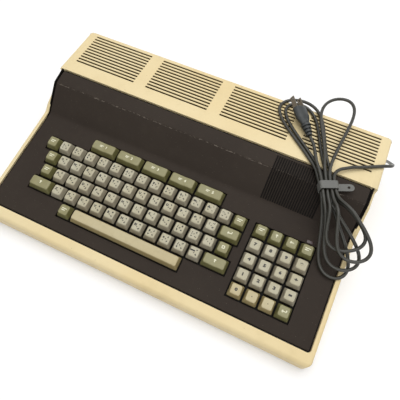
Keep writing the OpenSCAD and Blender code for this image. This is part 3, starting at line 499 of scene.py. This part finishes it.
# one fold: reach times sin, half width times cos times sin squared, drift and level eased in
def foldPoints(fold, s=cordSettings):
    reach, drift, half, colIn, levIn, colOut, levOut, tip, start, end = fold
    t = np.arange(s["foldSteps"] + 1) / s["foldSteps"]
    sn, cs = np.sin(math.pi * t), np.cos(math.pi * t)
    sense = 1 if colIn > colOut else -1
    side = s["strandStep"] * (colIn + (colOut - colIn) * (1 - cs) / 2)
    side = side + drift * sn ** 3 / (sn ** 2 + s["driftSoft"])
    side = side + sense * half / s["bulgePeak"] * cs * sn ** 2
    base = np.where(t < 0.5, levIn, levOut)
    level = base + (tip - base) * ease((sn - start) / (end - start))
    straight = math.copysign(s["waistStraight"], reach)
    return hankPoints(straight + (reach - straight) * sn, side, level)


# Catmull-Rom curve through points, with some steps from each to the next
def smoothRoute(points, steps):
    p = np.asarray(points, float)
    p = np.vstack([2 * p[0] - p[1], p, 2 * p[-1] - p[-2]])
    t = (np.arange(steps) / steps)[None, :, None]
    a, b, c, d = p[:-3, None], p[1:-2, None], p[2:-1, None], p[3:, None]
    bend = (2 * a - 5 * b + 4 * c - d) * t ** 2 + (3 * b - a - 3 * c + d) * t ** 3
    out = 0.5 * (2 * b + (c - a) * t + bend)
    return np.vstack([out.reshape(-1, 3), p[-2]])


# the whole lead, from the strain relief round the corner to the tie, the folds, the plug
def cordRoute(s=cordSettings):
    swing = np.arange(s["entrySweep"], -1, -s["entryStep"])
    turn = np.radians(swing)
    near, far = s["entryLevels"]
    side, radius = s["entryColumn"] * s["strandStep"], s["entryRadius"]
    bend = hankPoints(s["entryStart"] + radius * np.sin(turn), side + radius * (1 - np.cos(turn)),
                      near + (far - near) * ease(swing / s["entrySweep"]))
    lead = smoothRoute(s["lead"] + [tuple(bend[0])], s["endSteps"])
    tie = hankPoints(np.array(s["tieRun"]), side, 1)
    folds = [foldPoints(fold)[:-1] for fold in s["folds"]] + [foldPoints(s["folds"][-1])[-1:]]
    run = np.array(s["exitRun"])
    last = hankPoints(run, s["exitColumn"] * s["strandStep"] - s["exitBend"] * run ** 2, 1)
    a = math.radians(s["plugTurn"])
    way = np.array([-math.sin(a), math.cos(a), 0])
    tail = np.array(s["plugTail"])
    end = smoothRoute(np.vstack([last] + [[tail - back * way] for back in s["plugRun"]]), s["endSteps"])
    route = np.vstack([lead, bend[1:], tie, *folds, end, [tail]])
    return partPlace(*route.T)


# a circle carried along a route, square to it, its first axis square to a near-upright way too
def tube(name, route, radius, material, s=cordSettings):
    tangent = np.gradient(route, axis=0)
    tangent /= np.linalg.norm(tangent, axis=1, keepdims=True)
    side = np.cross(tangent, s["upright"])
    side /= np.linalg.norm(side, axis=1, keepdims=True)
    up = np.cross(side, tangent)
    angle = np.arange(s["sides"]) * 2 * math.pi / s["sides"]
    wheel = np.cos(angle)[:, None] * side[:, None] + np.sin(angle)[:, None] * up[:, None]
    rings = route[:, None] + radius * wheel
    count, sides = len(route), s["sides"]
    faces = [face[::-1] for face in gridFaces(count, sides)]
    faces += [list(range(sides)), list(range(count * sides - 1, (count - 1) * sides - 1, -1))]
    obj = newPiece(name, rings.reshape(-1, 3), faces, material)
    length = np.concatenate([[0], np.cumsum(np.linalg.norm(np.diff(route, axis=0), axis=1))])
    uv = np.stack(np.broadcast_arrays(length[:, None], angle / (2 * math.pi)), -1)
    addUv(obj.data, uv.reshape(-1, 2))
    return obj, float(length[-1])


route = smoothRoute(cordRoute(), cordSettings["routeSteps"])
cordPiece, cordLength = tube("mainsLead", route, cordSettings["diameter"] / 2 * mm, finish["cordJacket"])
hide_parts("cord_lead", "cord_hank")
print("cord laid:", round(cordLength, 3), "m")


# side rails of the upper case
railSettings = {"corner": 8.0, "cornerSteps": (0.6, 1.5, 3, 4.5, 6), "radius": 2.5,
                "steps": (0.12, 0.45, 0.95, 1.6, 2.5, 2.8), "inner": 208.5, "drop": 8.0, "start": 160.0,
                "end": 181.0, "reach": 6.0, "rimWidth": 0.03, "touch": 0.06, "split": 0.05}


# planes that give the rails the lines they bend along: beside the edge, through the corners, down the slope
def railCuts(s=railSettings):
    half, depth, rear = caseSettings["width"] / 2, caseSettings["depth"], panelSettings["rear"]
    across = [side * (half - v) for side in (-1, 1) for v in (*s["steps"], s["corner"])]
    deep = [v for k in (*s["cornerSteps"], s["corner"]) for v in (k, depth - k)]
    deep += [*np.linspace(s["start"], s["end"], 6), rear - s["split"], rear + s["split"]]
    return ([(partPlace(v, depth / 2, 0), (1, 0, 0)) for v in across]
            + [(partPlace(0, v, 0), (0, 1, 0)) for v in deep])


# top edge rounded: each point sinks by r less the root of r squared less (r - distance to the edge) squared;
# beside the slope and the strip the rails then sink below the panel by an eased amount
def shapeRails(points, s=railSettings):
    depth, corner, r = caseSettings["depth"], s["corner"], s["radius"]
    x, y, z = points[:, 0] / mm, points[:, 1] / mm + depth / 2, points[:, 2] / mm
    dx, dy = caseSettings["width"] / 2 - np.abs(x), np.minimum(y, depth - y)
    away = np.hypot(corner - dx, corner - dy)
    inCorner = (dx < corner) & (dy < corner)
    edge = np.where(inCorner, corner - away, dx)
    share = np.where(inCorner, ((corner - dx) / np.maximum(away, 0.01)) ** 2, 1)
    rim = edge < s["rimWidth"]
    ys, place = np.unique(np.round(y[rim], 3), return_inverse=True)
    tops = np.zeros(len(ys))
    np.maximum.at(tops, place, z[rim])
    top = np.interp(y, ys, tops)
    inward = np.clip(r - edge, 0, r)
    sunk = np.where(np.abs(z - top) < s["touch"], (r - np.sqrt(r ** 2 - inward ** 2)) * share, 0)
    beside = (np.abs(x) > s["inner"]) & (y < panelSettings["rear"]) & (z > top - s["reach"])
    drop = s["drop"] * ease((y - s["start"]) / (s["end"] - s["start"]))
    points[:, 2] = (z - sunk - np.where(beside, drop, 0)) * mm


# clean copies of CAD nodes
copySettings = {"merge": 2e-6, "flat": math.radians(0.6), "cut": 1e-6, "sharp": math.radians(35),
                "segments": 2}


# merged copy of a CAD node, cut and moved where asked, smooth up to an angle, with its edges eased
def cleanCopy(node, name, material, easing, cuts=(), move=None, s=copySettings):
    work = bmesh.new()
    work.from_mesh(frame["nodes"][node].data)
    bmesh.ops.remove_doubles(work, verts=work.verts, dist=s["merge"])
    bmesh.ops.dissolve_limit(work, angle_limit=s["flat"], verts=work.verts, edges=work.edges)
    for spot, normal in cuts:
        bmesh.ops.bisect_plane(work, geom=work.verts[:] + work.edges[:] + work.faces[:],
                               plane_co=tuple(spot), plane_no=normal, dist=s["cut"])
    mesh = bpy.data.meshes.new(name)
    work.to_mesh(mesh)
    work.free()
    if move:
        points = np.empty(len(mesh.vertices) * 3)
        mesh.vertices.foreach_get("co", points)
        move(points.reshape(-1, 3))
        mesh.vertices.foreach_set("co", points)
    obj = bpy.data.objects.new(name, mesh)
    scene.collection.objects.link(obj)
    mesh.materials.append(material)
    mesh.shade_smooth()
    mesh.set_sharp_from_angle(angle=s["sharp"])
    if easing:
        eased = obj.modifiers.new("easedEdges", "BEVEL")
        eased.width = easing * mm
        eased.segments = s["segments"]
        eased.limit_method = "ANGLE"
        eased.angle_limit = s["sharp"]
        eased.harden_normals = True
    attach(obj, bodyOf[node])
    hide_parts(node)
    return obj


# each node's piece, finish and the width of its eased edges
outerPieces = {
    "upper_case": ("upperCase", "creamShell", 0.5),
    "lower_case": ("lowerCase", "creamBase", 0.4),
    "keyboard_bezel": ("keyboardPanel", "darkPanel", 0.35),
    "rear_panel": ("rearPlate", "darkSteel", 0.0),
    "rubber_feet": ("rubberFeet", "footRubber", 0.4),
    "power_lamp": ("powerLamp", "lampLens", 0.3),
    "power_switch": ("powerRocker", "blackPlastic", 0.3),
    "switch_housing": ("rockerHousing", "blackPlastic", 0.3),
    "reset_button": ("resetButton", "resetPlastic", 0.3),
    "round_sockets": ("roundSockets", "blackPlastic", 0.2),
    "expansion_socket": ("expansionSocket", "blackPlastic", 0.2),
    "cord_gland": ("strainRelief", "plugRubber", 0.2),
    "mains_plug": ("mainsPlug", "plugRubber", 0.5),
    "plug_blades": ("plugBlades", "dullBrass", 0.15),
    "cord_tie": ("cordTie", "tieRubber", 0.25),
    "case_screws": ("caseScrews", "platedSteel", 0.0),
}
for node, (name, key, easing) in outerPieces.items():
    rails = {"cuts": railCuts(), "move": shapeRails} if node == "upper_case" else {}
    cleanCopy(node, name, finish[key], easing, **rails)


# rims of the dark panel beside the sunk rails: bars with a round top that follow the panel's side view
rimSettings = {"inner": 214.0, "outer": 216.0, "below": 12.0, "lift": 0.5, "liftRun": 8.0, "front": 150.0,
               "rear": 207.7, "rows": 40, "crownSteps": 9, "sharp": math.radians(40)}


# height of the panel at a depth: the lower of its strip and of the higher of its deck and its slope
def panelHeight(y, p=panelSettings):
    (y0, z0), (y1, z1) = p["crease"], p["upperCrease"]
    slope = z0 + (y - y0) * (z1 - z0) / (y1 - y0)
    strip = z1 + (y - y1) * (p["rearHeight"] - z1) / (p["rear"] - y1)
    return np.minimum(np.maximum(deckHeight(y), slope), strip)


# the bar's cross section carried along Y; its top is half a circle
def panelRims(s=rimSettings):
    y = np.linspace(s["front"], s["rear"], s["rows"])
    crown = panelHeight(y) + s["lift"] * ease((y - s["front"]) / s["liftRun"])
    half, mid = (s["outer"] - s["inner"]) / 2, (s["outer"] + s["inner"]) / 2
    turn = np.linspace(0, math.pi, s["crownSteps"])
    across = np.concatenate([mid + half * np.cos(turn), [mid - half, mid + half]])
    down = np.concatenate([half * (1 - np.sin(turn)), [s["below"], s["below"]]])
    columns, last = len(across), (s["rows"] - 1) * len(across)
    sleeve = gridFaces(s["rows"], columns) + [list(range(columns))[::-1], list(range(last, last + columns))]
    parts = []
    for side in (-1, 1):
        rings = partPlace(side * across, y[:, None], crown[:, None] - down)
        parts.append((rings.reshape(-1, 3), [face[::side] for face in sleeve]))
    rims = newPiece("panelRims", *joined(parts), finish["darkPanel"])
    rims.data.set_sharp_from_angle(angle=s["sharp"])


panelRims()

innerFinish = {
    "main_board": "greenBoard", "board_chips": "blackPlastic", "key_plate": "blackSteel",
    "key_board": "greenBoard", "key_switches": "switchPlastic", "power_board": "brownBoard",
    "transformer": "coreMetal", "heatsink": "coolerMetal", "capacitors": "blueSleeve",
    "beeper": "blackPlastic", "ribbon_cable": "ribbonGrey",
}
for node, key in innerFinish.items():
    materials = frame["nodes"][node].data.materials
    materials.clear()
    materials.append(finish[key])


# key caps, in millimetres in the keyboard deck's own frame, whose origin is the crease's middle
keySettings = {
    "pitch": 19.05, "gap": 1.7, "sink": 1.0, "height": 9.5, "sideInset": 2.9, "frontInset": 3.9,
    "rearInset": 2.0, "wall": 1.2, "dishRadius": 26.0, "dishDepth": 0.75, "topRound": 0.9,
    "baseCorner": 1.2, "topCorner": 2.3, "innerCorner": 0.6, "left": -188.8, "back": 10.0, "padGap": 8.95,
    "stemEnd": -7.1, "stemHalf": 2.2, "stemCorner": 0.3, "blend": 2.2, "runs": 7, "arcs": 5,
    "skirtRings": (0.0, 0.2, 0.5, 0.9, 1.0), "roundRings": (0.35, 0.7, 1.05, 1.57),
    "roundReach": 0.9, "topRings": (0.92, 0.78, 0.6, 0.4, 0.2), "sharp": math.radians(50),
}
keyMiddle = (keySettings["frontInset"] - keySettings["rearInset"]) / 2


# from the keyboard deck's frame to the part's frame
def onDeck(points):
    c, s = math.cos(deckTilt), math.sin(deckTilt)
    x, y, z = points.T
    y0, z0 = panelSettings["crease"]
    return partPlace(x, y * c - z * s + y0, y * s + z * c + z0)


# a rectangle with round corners, walked once round: quarter circles joined by straight runs of even steps
def roundedOutline(halfX, front, rear, radius, runsX, s=keySettings):
    centres = [(halfX - radius, rear - radius), (-halfX + radius, rear - radius),
               (-halfX + radius, front + radius), (halfX - radius, front + radius)]
    swing = np.linspace(0, math.pi / 2, s["arcs"])
    turns = [swing + q * math.pi / 2 for q in range(4)]
    arcs = [np.stack([x + radius * np.cos(t), y + radius * np.sin(t)], -1)
            for (x, y), t in zip(centres, turns)]
    parts = []
    for q in range(4):
        runs = s["runs"] if q % 2 else runsX
        share = (np.arange(1, runs + 1) / (runs + 1))[:, None]
        start, end = arcs[q][-1], arcs[(q + 1) % 4][0]
        parts += [arcs[q], start + (end - start) * share]
    return np.vstack(parts)


# height of the dished top: a lying cylinder cut into the flat top
def dishHeight(x, s=keySettings):
    r = s["dishRadius"]
    return np.minimum(s["height"], s["height"] - s["dishDepth"] + r - np.sqrt(r * r - x * x))


# steps along a cap's long side: more for a wide key, few for the space bar, which has no dish
def longRuns(cell, s=keySettings):
    return s["runs"] if cell[2] > 4 else s["runs"] * math.ceil(cell[2])


# outline of a cap at a height over its lower edge, moved in by some millimetres
def capOutline(cell, h, moved, corner, s=keySettings):
    k = h / s["height"]
    w, d = cell[2] * s["pitch"] - s["gap"], s["pitch"] - s["gap"]
    return roundedOutline(w / 2 - s["sideInset"] * k - moved, -d / 2 + s["frontInset"] * k + moved,
                          d / 2 - s["rearInset"] * k - moved, corner, longRuns(cell))


# cap as a grid: rows climb the tapered skirt, round over its top edge and shrink to the middle of the dished
# top; below, the same rows run down inside by the wall's thickness, and the stem hangs in the middle
def capGrid(cell, dished, s=keySettings):
    r, top = s["topRound"], s["height"]
    surface = dishHeight if dished else (lambda x: np.full(len(x), top))
    levels = [((top - r) * f, 0.0) for f in s["skirtRings"]]
    levels += [(top - r + r * math.sin(a), r * (1 - math.cos(a)) * s["roundReach"]) for a in s["roundRings"]]
    rows = []
    for h, moved in levels:
        xy = capOutline(cell, h, moved, s["baseCorner"] + (s["topCorner"] - s["baseCorner"]) * h / top)
        drop = (top - surface(xy[:, 0])) * ease((h - top + s["blend"]) / s["blend"])
        rows.append(np.column_stack([xy, h - drop]))
    edge = rows[-1][:, :2] - [0, keyMiddle]
    for f in s["topRings"]:
        xy = edge * f + [0, keyMiddle]
        rows.append(np.column_stack([xy, surface(xy[:, 0])]))
    n, last = len(edge), (len(rows) - 1) * len(edge)
    outer = np.vstack(rows + [[[0, keyMiddle, surface(np.zeros(1))[0]]]])
    faces = gridFaces(len(rows), n) + [[last + k, last + (k + 1) % n, last + n] for k in range(n)]
    # the lowest band of each skirt takes painted shadow, the rest of the skirt painted shade, the top its
    # own colour
    kinds = [2] * n + [1] * (3 * n) + [0] * (len(faces) - 4 * n)
    rim = top - s["blend"]
    half = s["stemHalf"]
    stem = roundedOutline(half, -half, half, s["stemCorner"], longRuns(cell))
    inner = [(capOutline(cell, h, s["wall"], s["innerCorner"]), h) for h in (0.0, rim)]
    inner += [(stem, h) for h in (rim, s["stemEnd"])]
    inner = [np.column_stack([xy, np.full(n, h)]) for xy, h in inner]
    start = len(outer)
    faces += [[start + v for v in face[::-1]] for face in gridFaces(len(inner), n)]
    faces += [list(range(start + 3 * n, start + 4 * n))[::-1]]
    faces += [[k, start + k, start + (k + 1) % n, (k + 1) % n] for k in range(n)]
    kinds += [1] * (len(faces) - len(kinds))
    return np.vstack([outer] + inner), faces, kinds


# middle of a key cell on the deck: x from the left edge, y from the rear row forward
def cellMiddle(cell, s=keySettings):
    return s["left"] + (cell[0] + cell[2] / 2) * s["pitch"], -s["back"] - (cell[1] + 0.5) * s["pitch"]


# the first words of a node's name in one
def camel(node, count=3):
    first, *rest = node.split("_")[:count]
    return first + "".join(word.capitalize() for word in rest)


# caps of one node as one piece: tops, skirts and the foot of each skirt have a finish each; the skirts are
# the tops' colours in painted shade and the foot is a darker painted shadow
def buildCaps(node, cells, top, skirt):
    parts, kinds = [], []
    for cell in cells:
        points, faces, capKinds = capGrid(cell, node != "space_bar")
        parts.append((points + [*cellMiddle(cell), -keySettings["sink"]], faces))
        kinds += capKinds
    points, faces = joined(parts)
    obj = newPiece(camel(node), onDeck(points), faces, finish[top], body=bodyOf[node])
    obj.data.materials.append(finish[skirt])
    obj.data.materials.append(finish["skirtFootShadow"])
    obj.data.polygons.foreach_set("material_index", np.array(kinds, dtype=np.int32))
    obj.data.set_sharp_from_angle(angle=keySettings["sharp"])
    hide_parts(node)


# cells of the caps, in key pitches: left edge, row from the rear, width
padLeft = 15 + keySettings["padGap"] / keySettings["pitch"]
caps = {
    "number_keys": [(i, 1, 1) for i in range(1, 14)],
    "upper_letter_keys": [(i + 0.5, 2, 1) for i in range(1, 13)],
    "middle_letter_keys": [(i + 0.75, 3, 1) for i in range(1, 13)],
    "lower_letter_keys": [(i + 2.25, 4, 1) for i in range(11)],
    **{"f%d_key" % i: [(1 + 2 * i, 0, 2)] for i in range(1, 6)},
    "escape_key": [(0, 1, 1)], "stop_key": [(14, 1, 1)], "tab_key": [(0.5, 2, 1)],
    "return_key": [(13.5, 2, 1.5)], "control_key": [(0.75, 3, 1)], "mode_key": [(13.75, 3, 1)],
    "left_shift_key": [(0.5, 4, 1.75)], "right_shift_key": [(13.25, 4, 1.75)],
    "graph_key": [(3.375, 5, 1)], "space_bar": [(4.375, 5, 7.875)],
    **{"pad_%s_key" % word: [(padLeft + i, 1, 1)]
       for i, word in enumerate(("home", "up", "left", "insert"))},
    "pad_return_key": [(padLeft + 3, 5, 1)],
    **{"pad_%s_row" % word: [(padLeft + i, row, 1) for i in range(4)]
       for row, word in enumerate(("seven", "four", "one"), 2)},
    "pad_zero_row": [(padLeft + i, 5, 1) for i in range(3)],
}
# tops in the caps' own colours, skirts in painted shade
keyFinish = {"pale_keys": ("paleKey", "paleSkirtShaded"), "creamy_keys": ("creamKey", "creamSkirtShaded"),
             "olive_keys": ("oliveKey", "oliveSkirtShaded")}
for node, cells in caps.items():
    buildCaps(node, cells, *keyFinish[slotOf[node]])
print("caps moulded:", len(caps))


# marks on the caps, in millimetres: places from the top's middle, with a share of the small size
markSettings = {
    "lift": 0.05, "bold": 0.065, "leastHeight": 0.35, "smallStroke": 0.4, "signStroke": 0.3,
    "digit": 4.0, "digitWide": 1.3,
    "letter": 3.3, "small": 2.2, "letterPlace": (-2.7, 1.2), "corners": [(2.6, 2.9, 1), (2.6, -2.6, 1)],
    "crowded": [(-2.6, -2.8, 1), (0.0, 0.2, 0.8)], "single": [(-0.2, -1.0, 0.8)],
    "signs": {",": 0.35, ".": 0.35, "=": 0.55, "+": 0.8},
}
glyphs = {}


# flat outline of a plain character, centred, one unit high, as points and faces
def glyph(text):
    if text not in glyphs:
        curve = bpy.data.curves.new("glyph", "FONT")
        curve.body = text
        curve.size = 1.0
        curve.resolution_u = 3
        curve.offset = markSettings["bold"]
        obj = bpy.data.objects.new("glyph", curve)
        mesh = bpy.data.meshes.new_from_object(obj)
        points = np.empty(len(mesh.vertices) * 3)
        mesh.vertices.foreach_get("co", points)
        points = points.reshape(-1, 3)[:, :2]
        faces = [list(p.vertices) for p in mesh.polygons]
        low, high = points.min(0), points.max(0)
        height = max(high[1] - low[1], markSettings["leastHeight"])
        glyphs[text] = ((points - (low + high) / 2) / height, faces)
        bpy.data.objects.remove(obj)
        bpy.data.curves.remove(curve)
        bpy.data.meshes.remove(mesh)
    return glyphs[text]


# straight strokes of one width as runs of quads: each is its middle line, pushed out to both sides
def strokes(lines, width, steps=4):
    share = np.arange(steps + 1)[:, None] / steps
    quads = [[2 * k, 2 * k + 2, 2 * k + 3, 2 * k + 1] for k in range(steps)]
    parts = []
    for a, b in np.reshape(lines, (-1, 2, 2)):
        way = (b - a) / np.linalg.norm(b - a)
        off = np.array([-way[1], way[0]]) * width / 2
        middle = a + (b - a) * share
        parts.append((np.stack([middle - off, middle + off], 1).reshape(-1, 2), quads))
    return joined(parts)


# marks laid on the dished tops: (cell, shape, x, y, height)
def layMarks(node, name, marks, key, s=markSettings):
    parts = []
    for cell, (points, faces), x, y, size in marks:
        px, py = points[:, 0] * size + x, points[:, 1] * size + y + keyMiddle
        cx, cy = cellMiddle(cell)
        height = dishHeight(px) + s["lift"] - keySettings["sink"]
        parts.append((np.stack([px + cx, py + cy, height], -1), faces))
    points, faces = joined(parts)
    obj = newPiece(name, onDeck(points), faces, finish[key], body=bodyOf[node], smooth=False)


# a small made-up sign of two or three strokes, standing for a second character
rng = np.random.default_rng(7)


def tinySign():
    lines = []
    for _ in range(int(rng.integers(2, 4))):
        a, b = rng.uniform(-0.5, 0.5, 2), rng.uniform(-0.5, 0.5, 2)
        if np.linalg.norm(a - b) < 0.5:
            b = -a + 0.1
        lines.append((*a, *b))
    return strokes(lines, markSettings["smallStroke"])


rowLetters = {"number_keys": "1234567890-^*", "upper_letter_keys": "QWERTYUIOP@(",
              "middle_letter_keys": "ASDFGHJKL;:)", "lower_letter_keys": "ZXCVBNM,./_"}
padLetters = {"pad_seven_row": "789*", "pad_four_row": "456+", "pad_one_row": "123=", "pad_zero_row": "0,."}


def rowMarks(s=markSettings):
    for node, letters in rowLetters.items():
        marks = []
        for cell, letter in zip(caps[node], letters):
            crowded = node == "number_keys" or letter in ",./;:"
            marks.append((cell, glyph(letter), *s["letterPlace"], s["letter"]))
            for x, y, share in s["corners"] + s["crowded" if crowded else "single"]:
                marks.append((cell, tinySign(), x, y, s["small"] * share))
        layMarks(node, camel(node, 1) + "RowMarks", marks, "darkMark")


def padMarks(s=markSettings):
    for node, letters in padLetters.items():
        marks = []
        for cell, letter in zip(caps[node], letters):
            points, faces = glyph(letter)
            size = s["digit"] * s["signs"].get(letter, 1.0)
            marks.append((cell, (points * [s["digitWide"], 1], faces), 0, 0, size))
        layMarks(node, camel(node, 2) + "Marks", marks, "darkMark")


# plain signs for the olive keys, as strokes from point to point in units of their size
arrow = {
    "up": [(0, -0.5, 0, 0.5), (-0.35, 0.15, 0, 0.5), (0.35, 0.15, 0, 0.5)],
    "left": [(0.6, 0, -0.6, 0), (-0.25, 0.35, -0.6, 0), (-0.25, -0.35, -0.6, 0)],
    "bent": [(0.7, 0.5, 0.7, -0.15), (0.7, -0.15, -0.7, -0.15), (-0.35, 0.2, -0.7, -0.15),
             (-0.35, -0.5, -0.7, -0.15)],
    "bars": [(-0.9, 0.3, 0.9, 0.3), (-0.9, -0.3, 0.4, -0.3)],
    "box": [(-0.4, -0.4, 0.4, -0.4), (0.4, -0.4, 0.4, 0.4), (0.4, 0.4, -0.4, 0.4), (-0.4, 0.4, -0.4, -0.4)],
}
signs = {
    "escape_key": "bars", "stop_key": "bars", "tab_key": "bars", "return_key": "bent", "control_key": "bars",
    "mode_key": "box", "left_shift_key": "up", "right_shift_key": "up", "graph_key": "bars",
    "pad_home_key": "bars", "pad_up_key": "up", "pad_left_key": "left", "pad_insert_key": "bars",
    "pad_return_key": "bent",
}
signPlace = {"digit": (3.4, 0.5, 3.8), "bars": (-3.4, 0.5, 2.6), "middle": (0, 0.4, 3.7)}


def oliveMarks(s=markSettings):
    bars = strokes(arrow["bars"], s["smallStroke"])
    for i in range(1, 6):
        node = "f%d_key" % i
        cell = caps[node][0]
        marks = [(cell, glyph(str(i)), *signPlace["digit"]), (cell, bars, *signPlace["bars"])]
        layMarks(node, "wideKeyMarks%d" % i, marks, "paleMark")
    for node, sign in signs.items():
        mark = (caps[node][0], strokes(arrow[sign], s["signStroke"]), *signPlace["middle"])
        layMarks(node, camel(node, 2) + "Mark", [mark], "paleMark")


rowMarks()
padMarks()
oliveMarks()
print("marks laid")


# floor, sky and lamps, in metres
studioSettings = {
    "floorHalf": 6.0, "floorColour": (0.86, 0.86, 0.865, 1), "floorRough": 0.9, "floorGloss": 0.1,
    "floorGlow": 0.18, "skyColour": (1, 1, 1, 1), "skyTilt": (0.55, 0.85), "skyRange": (-0.4, 1.0),
    "skyStrength": (0.12, 0.62),
    # place, size, power
    "lamps": {"keyLight": ((0.1, 0.3, 1.7), 2.0, 21.0), "fillLight": ((0.5, -1.8, 1.5), 1.6, 9.0)},
}


# 1 for rays that show the backdrop itself: from the camera, off gloss or through glass
def shownRays(tree):
    path = newNode(tree, "LightPath", {})
    shown = mathNode(tree, "MAXIMUM", path["Is Camera Ray"], path["Is Glossy Ray"])
    return mathNode(tree, "MAXIMUM", shown, path["Is Transmission Ray"])


# a pale matt floor that glows a little for the rays that show it
def layFloor(s=studioSettings):
    mesh = bpy.data.meshes.new("floor")
    r = s["floorHalf"]
    mesh.from_pydata([(-r, -r, 0), (r, -r, 0), (r, r, 0), (-r, r, 0)], [], [(0, 1, 2, 3)])
    floor = bpy.data.objects.new("floor", mesh)
    scene.collection.objects.link(floor)
    material = bpy.data.materials.new("paleFloor")
    material.use_nodes = True
    tree = material.node_tree
    shader = tree.nodes["Principled BSDF"]
    feed(tree, shader, {"Base Color": s["floorColour"], "Roughness": s["floorRough"],
                        "Specular IOR Level": s["floorGloss"]})
    strength = mathNode(tree, "MULTIPLY", shownRays(tree), s["floorGlow"])
    glow = newNode(tree, "Emission", {"Strength": strength})[0]
    both = newNode(tree, "AddShader", {0: shader.outputs[0], 1: glow})[0]
    feed(tree, tree.nodes["Material Output"], {"Surface": both})
    mesh.materials.append(material)


# the sky is white to the rays that show it; to the object it is brightest overhead and to the rear
def hangSky(s=studioSettings):
    scene.world = bpy.data.worlds.new("studioWorld")
    scene.world.use_nodes = True
    tree = scene.world.node_tree
    way = splitNode(tree, newNode(tree, "TexCoord", {})["Generated"])
    rear, up = (mathNode(tree, "MULTIPLY", way[k], share) for k, share in zip((1, 2), s["skyTilt"]))
    light = rangeNode(tree, mathNode(tree, "ADD", rear, up), *s["skyRange"], *s["skyStrength"])
    strength = mathNode(tree, "MAXIMUM", shownRays(tree), light)
    feed(tree, tree.nodes["Background"], {"Color": s["skyColour"], "Strength": strength})


# square lamps that look at the origin
def setLamps(s=studioSettings):
    for name, (place, size, power) in s["lamps"].items():
        light = bpy.data.lights.new(name, "AREA")
        light.shape = "SQUARE"
        light.size = size
        light.energy = power
        obj = bpy.data.objects.new(name, light)
        scene.collection.objects.link(obj)
        obj.matrix_world = lookMatrix(place)


layFloor()
hangSky()
setLamps()
scene.view_settings.view_transform = "Standard"
print("studio lit")
